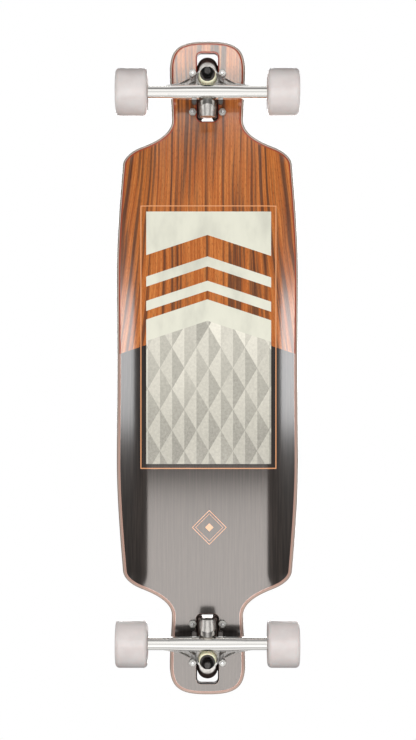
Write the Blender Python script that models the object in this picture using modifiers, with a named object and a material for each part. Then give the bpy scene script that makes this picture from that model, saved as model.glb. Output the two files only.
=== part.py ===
# Drop-through longboard with reverse-kingpin trucks.
# Metres, +Z up. The board stands on its wheels: the floor is z = 0, the nose points to +X,
# and the origin lies on the floor under the middle of the deck.

import math

import bmesh
import bpy
from mathutils import Matrix, Vector

MM = 0.001
GAP = 0.3 * MM

# Deck
DECK_LENGTH = 914 * MM
DECK_THICKNESS = 11 * MM
EDGE_ROUND = 5 * MM
RAIL_RISE = 13 * MM
FLAT_HALF_WIDTH = 75 * MM
HALF_WIDTH = 127.8 * MM
CONCAVE_FULL_X = 285 * MM
CONCAVE_END_X = 340 * MM
CONCAVE_POWER = 1.6
RAIL_FACETS = 4
FADE_FACETS = 8

# Trucks
WHEELBASE = 753 * MM
AXLE_BELOW_DECK = 50 * MM
BOLT_ACROSS = 41.3 * MM
BOLT_ALONG = 54 * MM
BOLT_CENTRE_X = 7.8 * MM
FLANGE_THICKNESS = 5.5 * MM
FLANGE_HALF_LENGTH = 40.6 * MM
FLANGE_HALF_WIDTH = 28 * MM
CUTOUT_IN_X = -31.6 * MM
CUTOUT_OUT_X = 64 * MM
CUTOUT_HALF_WIDTH = 14.6 * MM
CUTOUT_CORNER = 6 * MM
CUTOUT_RIM = 2 * MM

# Steering geometry, seen from the axle's centre with +X outboard
RING_CENTRE = Vector((22.8 * MM, 0, 24 * MM))
STEER_ANGLE = math.radians(31.2)
PIVOT_X = -18.5 * MM
KINGPIN_LEAN = math.radians(13)
STEER_AXIS = Vector((math.cos(STEER_ANGLE), 0, math.sin(STEER_ANGLE)))
KINGPIN_AXIS = Vector((math.sin(KINGPIN_LEAN), 0, -math.cos(KINGPIN_LEAN)))
PIVOT = RING_CENTRE + STEER_AXIS * ((PIVOT_X - RING_CENTRE.x) / STEER_AXIS.x)

# Kingpin stack, as distances from the ring's centre towards the road
RING_HALF = 3.5 * MM
RING_RADIUS = 16.3 * MM
RING_HOLE = 7.5 * MM
BUSHING_RADIUS = 12.7 * MM
BUSHING_FOOT_RADIUS = 14.3 * MM
ROAD_BUSHING = (RING_HALF + GAP, 15.8 * MM)
BOARD_BUSHING = (-18.8 * MM, -RING_HALF - GAP)
CUP_THICKNESS = 1.6 * MM
ROAD_CUP_RADIUS = 11.1 * MM
BOARD_CUP_RADIUS = 14.4 * MM
SEAT = BOARD_BUSHING[0] - GAP - CUP_THICKNESS - GAP
BOSS_RADIUS = 14.2 * MM
BOSS_TIP_X = 45.2 * MM
BOSS_FACE_X = 39.4 * MM
BOSS_FACE_RADIUS = 12 * MM
KINGPIN_RADIUS = 4.7 * MM
KINGPIN_BORE = 5.05 * MM
KINGPIN_HEAD_RADIUS = 7.6 * MM
KINGPIN_HEAD = (-40.8 * MM, -35.2 * MM)
NUT_HEIGHT = 9 * MM
NUT_ACROSS_CORNERS = 16.4 * MM

# Pivot, and the tower that holds it
NOSE_RADIUS = 6.1 * MM
CUP_BORE = 6.45 * MM
CUP_OUTER = 8 * MM
PIVOT_BORE = 8.35 * MM
ARM_RADIUS = 11.7 * MM
ARM_FACE = 3.3 * MM
ARM_MIDDLE = -6 * MM
ARM_OUT_X = -9.5 * MM
ARM_BACK_X = -32.5 * MM
ARM_BACK_Z = -4.5 * MM
ARM_BACK_RADIUS = 10.5 * MM
ARM_CORNER = 7 * MM
BODY_IN_X = -27 * MM
BODY_HALF = 14 * MM
BODY_CLEAR = 4 * MM
NOTCH_HALF = 7.8 * MM
PIVOT_FLOOR = -8.6 * MM

# Hanger and axle
HANGER_HALF = 90 * MM
TUBE_END_RADIUS = 8.7 * MM
TUBE_MID_RADIUS = 10.1 * MM
AXLE_RADIUS = 3.85 * MM
AXLE_BORE = 4.2 * MM
AXLE_HALF = 124.4 * MM
YOKE_SLOPE = 1.3
YOKE_START = 7.9 * MM
YOKE_LOW = 3 * MM
# Outboard edge of the yoke: distance out from the axle and along it, in millimetres
YOKE_FLARE = (
    (5.5, 82), (9.5, 60), (12, 50), (14.7, 38), (17.4, 33.5), (20.7, 29.4),
    (24.1, 22.6), (27.4, 17.9), (31, 13.8))
LONG_POCKET = (
    (23.6, 19.8), (20.3, 24.5), (15.5, 30), (12.6, 37.5), (13.8, 37.5), (17.8, 30.5),
    (21.8, 25.5), (24.8, 21.4))
SHORT_POCKET = ((18.5, 17.5), (12.6, 25.5), (11, 23.5), (11.6, 19), (14.6, 16.8))

# Wheels, measured along the axle from the truck's centre
WHEEL_RADIUS = 32.5 * MM
WHEEL_WIDTH = 43.4 * MM
WHEEL_Y = 103.5 * MM
TREAD_ROUND = 5.5 * MM
WHEEL_DISH_RADIUS = 24 * MM
WHEEL_CORE_RADIUS = 15 * MM
BEARING_RADIUS = 11 * MM
BEARING_SEAT = 11.3 * MM
BEARING_WIDTH = 7 * MM
SHOULDER_RADIUS = 8.6 * MM
RING_WIDTH = 0.8 * MM
SPEED_RING_RADIUS = 6.2 * MM
SPACER_RADIUS = 5.2 * MM
SPACER_LENGTH = 9.2 * MM
AXLE_NUT_HEIGHT = 6.3 * MM
AXLE_NUT_CORNERS = 14.6 * MM

# Mounting bolts
BOLT_RADIUS = 2.35 * MM
BOLT_HEAD_RADIUS = 4.6 * MM
BOLT_HEAD_HEIGHT = 2.8 * MM
BOLT_NUT_CORNERS = 11 * MM
BOLT_NUT_HEIGHT = 5.8 * MM
BOLT_END = 1.6 * MM
FLANGE_HOLE = 2.65 * MM
DECK_HOLE = 2.9 * MM

# Grip tape
GRIP_THICKNESS = 0.9 * MM
GRIP_GAP = 0.45 * MM
GRIP_INSET = 5.5 * MM
GRIP_WINDOW = 1.5 * MM

AXLE_Z = WHEEL_RADIUS
DECK_BOTTOM_Z = AXLE_Z + AXLE_BELOW_DECK
DECK_TOP_Z = DECK_BOTTOM_Z + DECK_THICKNESS
TIP_X = DECK_LENGTH / 2

# One quarter of the deck's outline, tip to waist, in millimetres from the deck's centre:
# each row is a cubic curve's start, first handle and second handle.
OUTLINE_CURVES = (
    ((457.0, 0.0), (457.5, 41.0), (446.0, 51.0), 8),
    ((420.0, 52.7), (395.0, 53.2), (366.0, 50.0), 3),
    ((346.6, 49.8), (329.0, 49.6), (317.0, 71.5), 5),
    ((310.0, 91.0), (304.5, 106.3), (296.0, 118.3), 5),
    ((285.0, 118.9), (270.0, 120.2), (190.0, 127.8), 5),
    ((133.0, 127.8), (90.0, 127.8), (45.0, 126.8), 3),
)
WAIST = (0.0, 126.8)


def material(name, colour, roughness, metallic=0.0):
    made = bpy.data.materials.new(name)
    made.use_nodes = True
    shader = made.node_tree.nodes["Principled BSDF"]
    shader.inputs["Base Color"].default_value = (*colour, 1.0)
    shader.inputs["Roughness"].default_value = roughness
    shader.inputs["Metallic"].default_value = metallic
    made.diffuse_color = (*colour, 1.0)
    return made


def link_piece(name, mesh, parts, finish, parent=None):
    """Make one named sub-part from a mesh."""
    piece = bpy.data.objects.new(name, mesh)
    parts.objects.link(piece)
    piece.parent = parent
    if finish and not mesh.materials:
        mesh.materials.append(finish)
    return piece


def empty(name, location, parts, parent=None, turn=0.0):
    """Make an empty that carries pieces."""
    made = bpy.data.objects.new(name, None)
    made.empty_display_size = 0.02
    made.location = location
    made.rotation_euler = (0, 0, turn)
    made.parent = parent
    parts.objects.link(made)
    return made


def round_shading(mesh, angle=math.radians(35)):
    mesh.shade_smooth()
    mesh.set_sharp_from_angle(angle=angle)


def along(direction, origin=Vector((0, 0, 0))):
    """Matrix that stands a shape's own Z axis along a direction at an origin."""
    turn = Vector((0, 0, 1)).rotation_difference(Vector(direction).normalized())
    return Matrix.Translation(origin) @ turn.to_matrix().to_4x4()


def bmesh_to_mesh(bm, name):
    bmesh.ops.recalc_face_normals(bm, faces=bm.faces)
    mesh = bpy.data.meshes.new(name)
    bm.to_mesh(mesh)
    bm.free()
    return mesh


def prism(loops, name):
    """Close a stack of loops that have the same number of points."""
    bm = bmesh.new()
    rings = []
    for loop in loops:
        verts = [bm.verts.new(point) for point in loop]
        edges = [bm.edges.new((verts[i - 1], verts[i])) for i in range(len(verts))]
        rings.append((verts, edges))
    for (_, low), (_, high) in zip(rings, rings[1:]):
        bmesh.ops.bridge_loops(bm, edges=low + high)
    bm.faces.new(rings[0][0])
    bm.faces.new(rings[-1][0])
    return bmesh_to_mesh(bm, name)


def rounded_rectangle(x_low, x_high, half_y, radius, z, steps=4):
    """Loop of points round a rectangle whose corners are arcs."""
    corners = (
        (x_high - radius, half_y - radius, 0),
        (x_low + radius, half_y - radius, 90),
        (x_low + radius, -half_y + radius, 180),
        (x_high - radius, -half_y + radius, 270),
    )
    points = []
    for x, y, start in corners:
        for step in range(steps + 1):
            angle = math.radians(start + 90 * step / steps)
            points.append((x + radius * math.cos(angle), y + radius * math.sin(angle), z))
    return points


def rod(radius, low, high, name, segments=24, place=Matrix.Identity(4), top_radius=None):
    """Cylinder or cone between two heights on its own axis."""
    bm = bmesh.new()
    centre = Matrix.Translation((0, 0, (low + high) / 2))
    bmesh.ops.create_cone(
        bm, cap_ends=True, segments=segments, radius1=radius,
        radius2=radius if top_radius is None else top_radius,
        depth=high - low, matrix=place @ centre)
    return bmesh_to_mesh(bm, name)


def hull(points, name):
    """Closed skin stretched over a cloud of points."""
    bm = bmesh.new()
    for point in points:
        bm.verts.new(point)
    skin = bmesh.ops.convex_hull(bm, input=bm.verts)
    loose = [item for item in skin["geom_interior"] if isinstance(item, bmesh.types.BMVert)]
    bmesh.ops.delete(bm, geom=loose, context="VERTS")
    bmesh.ops.dissolve_limit(bm, angle_limit=math.radians(1), verts=bm.verts, edges=bm.edges)
    return bmesh_to_mesh(bm, name)


def circle(radius, height, place, segments=24):
    """Points round a circle that lies across its own axis."""
    points = []
    for step in range(segments):
        angle = math.tau * step / segments
        flat = Vector((radius * math.cos(angle), radius * math.sin(angle), height))
        points.append(place @ flat)
    return points


def turned(profile, name, segments, closed=False):
    """Turn a profile of (radius, height) points round its own axis with a Screw modifier."""
    mesh = bpy.data.meshes.new(name)
    verts = [(radius, 0, height) for radius, height in profile]
    edges = [(i, i + 1) for i in range(len(verts) - 1)]
    if closed:
        edges.append((len(verts) - 1, 0))
    mesh.from_pydata(verts, edges, [])
    guide = bpy.data.objects.new(name + "_guide", mesh)
    bpy.context.scene.collection.objects.link(guide)
    screw = guide.modifiers.new("Turn", "SCREW")
    screw.steps = segments
    screw.render_steps = segments
    screw.use_merge_vertices = True
    screw.merge_threshold = 0.00001
    return baked(guide, name)


def baked(guide, name):
    """Mesh of an object as its modifiers leave it; the guide object is removed."""
    bpy.context.view_layer.update()
    graph = bpy.context.evaluated_depsgraph_get()
    mesh = bpy.data.meshes.new_from_object(guide.evaluated_get(graph))
    mesh.name = name
    round_shading(mesh)
    bpy.data.objects.remove(guide)
    return mesh


def combined(base, steps, name):
    """Join shapes to a base mesh or cut them from it, in order, with exact Booleans."""
    cutters = bpy.data.collections.new(name + "_cutters")
    bpy.context.scene.collection.children.link(cutters)
    guide = bpy.data.objects.new(name + "_guide", base)
    bpy.context.scene.collection.objects.link(guide)
    made = []
    for operation, shape in steps:
        cutter = bpy.data.objects.new(name + "_" + operation.lower(), shape)
        cutter.hide_render = True
        cutter.display_type = "WIRE"
        cutters.objects.link(cutter)
        made.append(cutter)
        boolean = guide.modifiers.new(operation, "BOOLEAN")
        boolean.operation = operation
        boolean.solver = "EXACT"
        boolean.object = cutter
    mesh = baked(guide, name)
    for cutter in made:
        bpy.data.objects.remove(cutter)
    bpy.data.collections.remove(cutters)
    return mesh


def moved_origin(mesh, origin):
    mesh.transform(Matrix.Translation(-Vector(origin)))
    return mesh


def copy_turned(mesh, place):
    mesh.transform(place)
    return mesh


# Deck

def cubic(start, handle_a, handle_b, end, share):
    keep = 1 - share
    weights = (keep ** 3, 3 * keep ** 2 * share, 3 * keep * share ** 2, share ** 3)
    points = (start, handle_a, handle_b, end)
    return tuple(sum(w * p[axis] for w, p in zip(weights, points)) * MM for axis in (0, 1))


def quarter_outline():
    """Points from the tip to just before the waist."""
    starts = [row[0] for row in OUTLINE_CURVES[1:]] + [WAIST]
    points = []
    for (start, handle_a, handle_b, steps), end in zip(OUTLINE_CURVES, starts):
        for step in range(steps):
            points.append(cubic(start, handle_a, handle_b, end, step / steps))
    return points


def deck_outline(inset=0.0):
    """Closed outline of the deck, shrunk square to its own edge by an inset."""
    quarter = quarter_outline()
    waist = (WAIST[0] * MM, WAIST[1] * MM)
    right = quarter + [waist] + [(-x, y) for x, y in reversed(quarter)]
    loop = right + [(x, -y) for x, y in reversed(right[1:-1])]
    if not inset:
        return loop
    shrunk = []
    for i, (x, y) in enumerate(loop):
        before = Vector(loop[i - 1])
        after = Vector(loop[(i + 1) % len(loop)])
        run = (after - before).normalized()
        shrunk.append((x - run.y * inset, y + run.x * inset))
    return shrunk


def faceted(curve, share, facets):
    """A curve's value at a share from 0 to 1, run straight between its facets' ends."""
    place = min(1.0, max(0.0, share)) * facets
    start = min(facets - 1, int(place))
    low = curve(start / facets)
    high = curve((start + 1) / facets)
    return low + (high - low) * (place - start)


def concave(x, y):
    """Height of the raised rails over the deck's flat middle."""
    across = (abs(y) - FLAT_HALF_WIDTH) / (HALF_WIDTH - FLAT_HALF_WIDTH)
    along_board = (CONCAVE_END_X - abs(x)) / (CONCAVE_END_X - CONCAVE_FULL_X)
    rise = faceted(lambda share: share ** CONCAVE_POWER, across, RAIL_FACETS)
    fade = faceted(lambda share: share * share * (3 - 2 * share), along_board, FADE_FACETS)
    return RAIL_RISE * rise * fade


def slab(outline, low, thickness, edge_round, edge_steps):
    """Flat plate of an outline, with its edges rounded and a grid of cuts to bend along."""
    bm = bmesh.new()
    face = bm.faces.new([bm.verts.new((x, y, low)) for x, y in outline])
    raised = bmesh.ops.extrude_face_region(bm, geom=[face])
    top = [item for item in raised["geom"] if isinstance(item, bmesh.types.BMVert)]
    bmesh.ops.translate(bm, verts=top, vec=(0, 0, thickness))
    bmesh.ops.recalc_face_normals(bm, faces=bm.faces)
    if edge_round:
        rim = [edge for edge in bm.edges if abs(edge.verts[0].co.z - edge.verts[1].co.z) < MM / 10]
        bmesh.ops.bevel(
            bm, geom=rim, offset=edge_round, offset_type="OFFSET", segments=edge_steps,
            profile=0.5, affect="EDGES", material=-1)
    rail = (HALF_WIDTH - FLAT_HALF_WIDTH) / RAIL_FACETS
    fade = (CONCAVE_END_X - CONCAVE_FULL_X) / FADE_FACETS
    for side in (-1, 1):
        for step in range(RAIL_FACETS):
            cut_through(bm, (0, side * (FLAT_HALF_WIDTH + rail * step), 0), (0, 1, 0))
        for step in range(FADE_FACETS + 1):
            cut_through(bm, (side * (CONCAVE_FULL_X + fade * step), 0, 0), (1, 0, 0))
    return bm


def cut_through(bm, point, normal):
    geometry = list(bm.verts) + list(bm.edges) + list(bm.faces)
    bmesh.ops.bisect_plane(bm, geom=geometry, dist=0.00001, plane_co=point, plane_no=normal)


def bend(mesh):
    """Raise the rails."""
    for vert in mesh.vertices:
        vert.co.z += concave(vert.co.x, vert.co.y)
    return mesh


def cutout_shape(side):
    """Long rounded hole for one truck, with its rim eased on the underside."""
    axle_x = WHEELBASE / 2
    over = 2 * MM
    loops = []
    for z, wide in (
            (DECK_BOTTOM_Z - over, CUTOUT_RIM + over), (DECK_BOTTOM_Z, CUTOUT_RIM),
            (DECK_BOTTOM_Z + CUTOUT_RIM / 3, CUTOUT_RIM / 3), (DECK_BOTTOM_Z + CUTOUT_RIM, 0),
            (DECK_TOP_Z + over, 0)):
        loop = rounded_rectangle(
            axle_x + CUTOUT_IN_X - wide, axle_x + CUTOUT_OUT_X + wide,
            CUTOUT_HALF_WIDTH + wide, CUTOUT_CORNER + wide, z, steps=3)
        loops.append([(side * x, side * y, z) for x, y, z in loop])
    return prism(loops, "deck_cutout")


def bolt_places():
    """Bolt centres in a truck's own frame."""
    return [
        (BOLT_CENTRE_X + along_x * BOLT_ALONG / 2, across * BOLT_ACROSS / 2)
        for along_x in (1, -1) for across in (1, -1)]


def make_deck(parts):
    bm = slab(deck_outline(), DECK_BOTTOM_Z, DECK_THICKNESS, EDGE_ROUND, 3)
    base = bmesh_to_mesh(bm, "deck")
    steps = []
    for side in (1, -1):
        steps.append(("DIFFERENCE", cutout_shape(side)))
        for x, y in bolt_places():
            place = Matrix.Translation((side * (WHEELBASE / 2 + x), side * y, 0))
            steps.append(("DIFFERENCE", rod(
                DECK_HOLE, DECK_BOTTOM_Z - GAP * 10, DECK_TOP_Z + GAP * 10,
                "deck_bolt_hole", 12, place)))
    mesh = bend(combined(base, steps, "deck"))
    round_shading(mesh)
    return link_piece("deck", mesh, parts, material("maple", (0.48, 0.22, 0.1), 0.25))


def make_grip_tape(parts):
    low = DECK_TOP_Z + GRIP_GAP
    bm = slab(deck_outline(GRIP_INSET), low, GRIP_THICKNESS, 0, 0)
    base = bmesh_to_mesh(bm, "grip_tape")
    steps = []
    for side in (1, -1):
        x_low = WHEELBASE / 2 + BOLT_CENTRE_X - FLANGE_HALF_LENGTH - GRIP_WINDOW
        x_high = WHEELBASE / 2 + CUTOUT_OUT_X + 3 * GRIP_WINDOW
        loops = []
        for z in (low - MM, low + GRIP_THICKNESS + MM):
            loop = rounded_rectangle(
                x_low, x_high, FLANGE_HALF_WIDTH + GRIP_WINDOW, 8 * MM, z, steps=3)
            loops.append([(side * x, side * y, z) for x, y, z in loop])
        steps.append(("DIFFERENCE", prism(loops, "grip_window")))
    mesh = bend(combined(base, steps, "grip_tape"))
    return link_piece("grip_tape", mesh, parts, material("grit", (0.02, 0.02, 0.02), 0.95))


# Trucks, each in its own frame: origin at the axle's centre, +X outboard

def kingpin_place():
    return along(KINGPIN_AXIS, RING_CENTRE)


def pivot_place():
    return along(STEER_AXIS, PIVOT)


def baseplate_mesh():
    deck_low = AXLE_BELOW_DECK
    flange_low = deck_low + DECK_THICKNESS + GAP
    flange_high = flange_low + FLANGE_THICKNESS
    flange = prism([
        rounded_rectangle(
            BOLT_CENTRE_X - FLANGE_HALF_LENGTH, BOLT_CENTRE_X + FLANGE_HALF_LENGTH,
            FLANGE_HALF_WIDTH, 8 * MM, z)
        for z in (flange_low, flange_high)], "flange")

    body_low = deck_low + BODY_CLEAR
    body = prism([
        rounded_rectangle(BODY_IN_X, BOSS_TIP_X, BODY_HALF, 3 * MM, z, steps=2)
        for z in (body_low, flange_high - MM)], "body")

    seat = circle(BOSS_RADIUS, SEAT, kingpin_place())
    reach = (BOSS_FACE_X - RING_CENTRE.x) / math.cos(KINGPIN_LEAN)
    reach -= SEAT * math.tan(KINGPIN_LEAN)
    face_end = circle(
        BOSS_FACE_RADIUS, SEAT, kingpin_place() @ Matrix.Translation((-reach, 0, 0)))
    tip = Matrix.Translation((BOSS_TIP_X, 0, 0))
    boss = hull(
        seat + face_end + circle(BOSS_RADIUS, flange_high, tip)
        + circle(BOSS_RADIUS, body_low, tip), "boss")

    arm_root = rounded_rectangle(BODY_IN_X, ARM_OUT_X, ARM_RADIUS, ARM_CORNER, deck_low)
    block = pivot_place()
    back = along((1, 0, 0), Vector((ARM_BACK_X, 0, ARM_BACK_Z)))
    arm = hull(
        arm_root + circle(ARM_RADIUS, ARM_FACE, block) + circle(ARM_RADIUS, ARM_MIDDLE, block)
        + circle(ARM_BACK_RADIUS, 0, back), "arm")
    arm_top = prism([
        rounded_rectangle(BODY_IN_X, ARM_OUT_X, ARM_RADIUS, ARM_CORNER, z)
        for z in (deck_low - MM, flange_high - MM)], "arm_top")

    cuts = [
        rod(KINGPIN_BORE, SEAT - 25 * MM, -SEAT, "kingpin_bore", 24, kingpin_place()),
        rod(KINGPIN_HEAD_RADIUS + 2 * GAP, KINGPIN_HEAD[0] - 12 * MM, KINGPIN_HEAD[1] + GAP,
            "head_pocket", 24, kingpin_place()),
        rod(PIVOT_BORE, PIVOT_FLOOR - GAP, 20 * MM, "pivot_bore", 24, pivot_place()),
        prism([
            rounded_rectangle(-50 * MM, BODY_IN_X - GAP, NOTCH_HALF, 1.5 * MM, z, steps=2)
            for z in (flange_low - MM, flange_high + MM)], "flange_notch"),
    ]
    for x, y in bolt_places():
        place = Matrix.Translation((x, y, 0))
        cuts.append(rod(
            FLANGE_HOLE, flange_low - MM, flange_high + MM, "bolt_hole", 12, place))
        cuts.append(rod(
            FLANGE_HOLE, flange_high - BOLT_HEAD_HEIGHT - GAP, flange_high + 2 * MM,
            "countersink", 16, place,
            top_radius=BOLT_HEAD_RADIUS + GAP + 2 * MM))
    steps = [("UNION", body), ("UNION", boss), ("UNION", arm), ("UNION", arm_top)]
    steps += [("DIFFERENCE", cut) for cut in cuts]
    return combined(flange, steps, "baseplate")


def tube_profile():
    """Half-profile of the axle tube, top to bottom, swelling towards its middle."""
    points = [(0, HANGER_HALF), (TUBE_END_RADIUS - 0.8 * MM, HANGER_HALF)]
    for share in (0.99, 0.8, 0.6, 0.35, 0.0, -0.35, -0.6, -0.8, -0.99):
        swell = 1 - min(1.0, abs(share) / 0.6) ** 2
        radius = TUBE_END_RADIUS + (TUBE_MID_RADIUS - TUBE_END_RADIUS) * swell
        points.append((radius, HANGER_HALF * share))
    points += [(TUBE_END_RADIUS - 0.8 * MM, -HANGER_HALF), (0, -HANGER_HALF)]
    return points


def yoke_section(x_out, y):
    """Slice of the yoke at one distance along the tube, out to its outboard edge."""
    ring_half = (RING_HALF - GAP) / math.cos(KINGPIN_LEAN)
    crown = RING_CENTRE.z - ring_half + (x_out - RING_CENTRE.x) * math.tan(KINGPIN_LEAN)
    web = YOKE_SLOPE * (x_out - YOKE_START)
    low = min(crown, web)
    return [
        (YOKE_LOW, y, -YOKE_LOW), (x_out, y, low),
        (x_out - MM, y, low + 2 * ring_half), (-MM, y, TUBE_END_RADIUS - MM)]


def yoke_mesh():
    """Body between the tube and the ring, flared along the tube."""
    half = [yoke_section(x * MM, y * MM) for x, y in YOKE_FLARE]
    other = [[(x, -y, z) for x, y, z in section] for section in reversed(half)]
    return prism(half + other, "yoke")


def pocket(outline, side, x_start, z_start):
    """Recess in the yoke's road side, with a floor that rises outboard."""
    floor = [
        (x * MM, side * y * MM, (z_start + (x - x_start) * YOKE_SLOPE) * MM)
        for x, y in outline]
    return prism([[(x, y, -15 * MM) for x, y, z in floor], floor], "pocket")


def hanger_mesh():
    across = Matrix.Rotation(-math.pi / 2, 4, "X")
    tube = copy_turned(turned(tube_profile(), "tube", 28), across)
    king = kingpin_place()
    ring = rod(RING_RADIUS, -RING_HALF, RING_HALF, "ring", 32, king)

    pivot = pivot_place()
    nose_root = 19 * MM
    nose = turned([
        (0, nose_root), (8.2 * MM, nose_root), (NOSE_RADIUS, 7 * MM), (NOSE_RADIUS, 0),
        (NOSE_RADIUS * 0.87, -NOSE_RADIUS * 0.5), (NOSE_RADIUS * 0.5, -NOSE_RADIUS * 0.87),
        (0, -NOSE_RADIUS)], "nose", 24)
    nose = copy_turned(nose, pivot)

    steps = [("UNION", yoke_mesh()), ("UNION", ring), ("UNION", nose)]
    for side in (1, -1):
        loops = []
        for z in (-3.5 * MM, 5 * MM):
            loop = rounded_rectangle(-17 * MM, 2 * MM, 3.3 * MM, 3 * MM, z, steps=3)
            loops.append([(x, y + side * 18 * MM, z) for x, y, z in loop])
        steps.append(("UNION", prism(loops, "stop_lug")))
    road_room = BUSHING_RADIUS + 1.2 * MM
    board_room = RING_RADIUS + MM
    steps += [
        ("DIFFERENCE", rod(road_room, RING_HALF, 40 * MM, "road_room", 32, king)),
        ("DIFFERENCE", rod(board_room, -30 * MM, -RING_HALF - GAP / 3, "board_room", 32, king)),
        ("DIFFERENCE", rod(RING_HOLE, -20 * MM, 20 * MM, "ring_hole", 24, king))]
    for side in (1, -1):
        steps.append(("DIFFERENCE", pocket(LONG_POCKET, side, 13.2, 10.5)))
        steps.append(("DIFFERENCE", pocket(SHORT_POCKET, side, 14, 11.5)))
    bore = rod(AXLE_BORE, -HANGER_HALF - MM, HANGER_HALF + MM, "axle_bore", 20, across)
    steps.append(("DIFFERENCE", bore))
    return combined(tube, steps, "hanger")


def cup_washer_mesh(radius, hole):
    """Dished washer, its rim towards the bushing at -Z of its own frame."""
    half = CUP_THICKNESS / 2
    profile = [
        (hole, half), (radius - MM, half), (radius, half - 0.5 * MM), (radius, -half),
        (hole, -half)]
    return turned(profile, "cup_washer", 24, closed=True)


def bushing_mesh(low, high, foot_radius, head_radius):
    """Urethane barrel between two heights; the foot is at the low end."""
    round_off = 1.2 * MM
    profile = [
        (KINGPIN_BORE, high), (head_radius - round_off, high), (head_radius, high - round_off),
        (foot_radius, low + round_off), (foot_radius - round_off, low), (KINGPIN_BORE, low)]
    return turned(profile, "bushing", 24, closed=True)


def hexagon(across_corners, low, high, bore, name):
    """Hexagonal nut with a round bore."""
    nut = rod(across_corners / 2, low, high, name, 6)
    hole = rod(bore, low - MM, high + MM, name + "_bore", 16)
    return combined(nut, [("DIFFERENCE", hole)], name)


def kingpin_mesh():
    """Bolt with a round head; it points along its own +Z to the road."""
    end = ROAD_BUSHING[1] + 3 * GAP + CUP_THICKNESS + NUT_HEIGHT + 1.5 * MM
    head_low, head_high = KINGPIN_HEAD
    profile = [
        (0, end), (KINGPIN_RADIUS - 0.8 * MM, end), (KINGPIN_RADIUS, end - 0.8 * MM),
        (KINGPIN_RADIUS, head_high), (KINGPIN_HEAD_RADIUS, head_high),
        (KINGPIN_HEAD_RADIUS, head_low), (0, head_low)]
    return turned(profile, "kingpin", 20)


def pivot_cup_mesh():
    """Liner of the pivot bore, open towards the hanger."""
    rim = ARM_FACE + 1.2 * MM
    floor = PIVOT_FLOOR
    profile = [
        (CUP_BORE, rim), (CUP_OUTER, rim), (CUP_OUTER, floor), (0, floor),
        (0, -CUP_BORE), (CUP_BORE * 0.5, -CUP_BORE * 0.87), (CUP_BORE * 0.87, -CUP_BORE * 0.5),
        (CUP_BORE, 0)]
    return turned(profile, "pivot_cup", 24, closed=True)


def wheel_mesh():
    """Wheel in its own frame: +Z is the outer side, z = 0 the middle of the tread."""
    half = WHEEL_WIDTH / 2
    inner_low = HANGER_HALF + RING_WIDTH + 2 * GAP - WHEEL_Y
    inner_high = inner_low + BEARING_WIDTH
    outer_low = inner_high + 2 * GAP + SPACER_LENGTH
    outer_high = outer_low + BEARING_WIDTH
    slant = TREAD_ROUND * (1 - math.sqrt(0.5))
    profile = [
        (BEARING_SEAT, outer_high), (WHEEL_CORE_RADIUS, outer_high + MM),
        (WHEEL_DISH_RADIUS, half - 1.2 * MM),
        (WHEEL_RADIUS - TREAD_ROUND, half),
        (WHEEL_RADIUS - slant, half - slant), (WHEEL_RADIUS, half - TREAD_ROUND),
        (WHEEL_RADIUS, -half + TREAD_ROUND), (WHEEL_RADIUS - slant, -half + slant),
        (WHEEL_RADIUS - TREAD_ROUND, -half), (WHEEL_DISH_RADIUS, -half + 1.2 * MM),
        (WHEEL_CORE_RADIUS, inner_low - 2 * MM), (BEARING_SEAT, inner_low),
        (BEARING_SEAT, inner_high + GAP), (SHOULDER_RADIUS, inner_high + GAP),
        (SHOULDER_RADIUS, outer_low - GAP), (BEARING_SEAT, outer_low - GAP)]
    return turned(profile, "wheel", 32, closed=True)


def ring_mesh(inner, outer, width, name, segments=20):
    """Plain ring centred on its own origin."""
    half = width / 2
    profile = [(inner, half), (outer, half), (outer, -half), (inner, -half)]
    return turned(profile, name, segments, closed=True)


def bolt_mesh():
    """Mounting bolt with its nut, in the truck's heights."""
    flange_high = AXLE_BELOW_DECK + DECK_THICKNESS + GAP + FLANGE_THICKNESS
    nut_high = AXLE_BELOW_DECK - GAP
    nut_low = nut_high - BOLT_NUT_HEIGHT
    end = nut_low - BOLT_END
    shank = turned([
        (0, flange_high - 0.2 * MM), (BOLT_HEAD_RADIUS, flange_high - 0.2 * MM),
        (BOLT_RADIUS, flange_high - BOLT_HEAD_HEIGHT), (BOLT_RADIUS, end + 0.4 * MM),
        (BOLT_RADIUS - 0.4 * MM, end), (0, end)], "bolt", 16)
    nut = rod(BOLT_NUT_CORNERS / 2, nut_low, nut_high, "bolt_nut", 6)
    return combined(shank, [("UNION", nut)], "bolt")


def truck_meshes():
    """Every mesh of one truck, made once and shared by both trucks."""
    king = kingpin_place()
    road_cup = ROAD_BUSHING[1] + GAP + CUP_THICKNESS / 2
    board_cup = BOARD_BUSHING[0] - GAP - CUP_THICKNESS / 2
    nut_low = ROAD_BUSHING[1] + 2 * GAP + CUP_THICKNESS
    flip = Matrix.Rotation(math.pi, 4, "X")
    made = {
        "baseplate": baseplate_mesh(),
        "pivot_cup": copy_turned(pivot_cup_mesh(), pivot_place()),
        "kingpin": copy_turned(kingpin_mesh(), king),
        "boardside_washer": copy_turned(
            cup_washer_mesh(BOARD_CUP_RADIUS, KINGPIN_BORE),
            king @ Matrix.Translation((0, 0, board_cup)) @ flip),
        "boardside_bushing": copy_turned(
            bushing_mesh(*BOARD_BUSHING, BUSHING_FOOT_RADIUS, BUSHING_RADIUS), king),
        "roadside_bushing": copy_turned(
            bushing_mesh(*ROAD_BUSHING, BUSHING_RADIUS, BUSHING_RADIUS - 0.6 * MM), king),
        "roadside_washer": copy_turned(
            cup_washer_mesh(ROAD_CUP_RADIUS, KINGPIN_BORE),
            king @ Matrix.Translation((0, 0, road_cup))),
        "kingpin_nut": copy_turned(
            hexagon(NUT_ACROSS_CORNERS, nut_low, nut_low + NUT_HEIGHT, KINGPIN_BORE, "nut"),
            king),
    }
    return made


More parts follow.
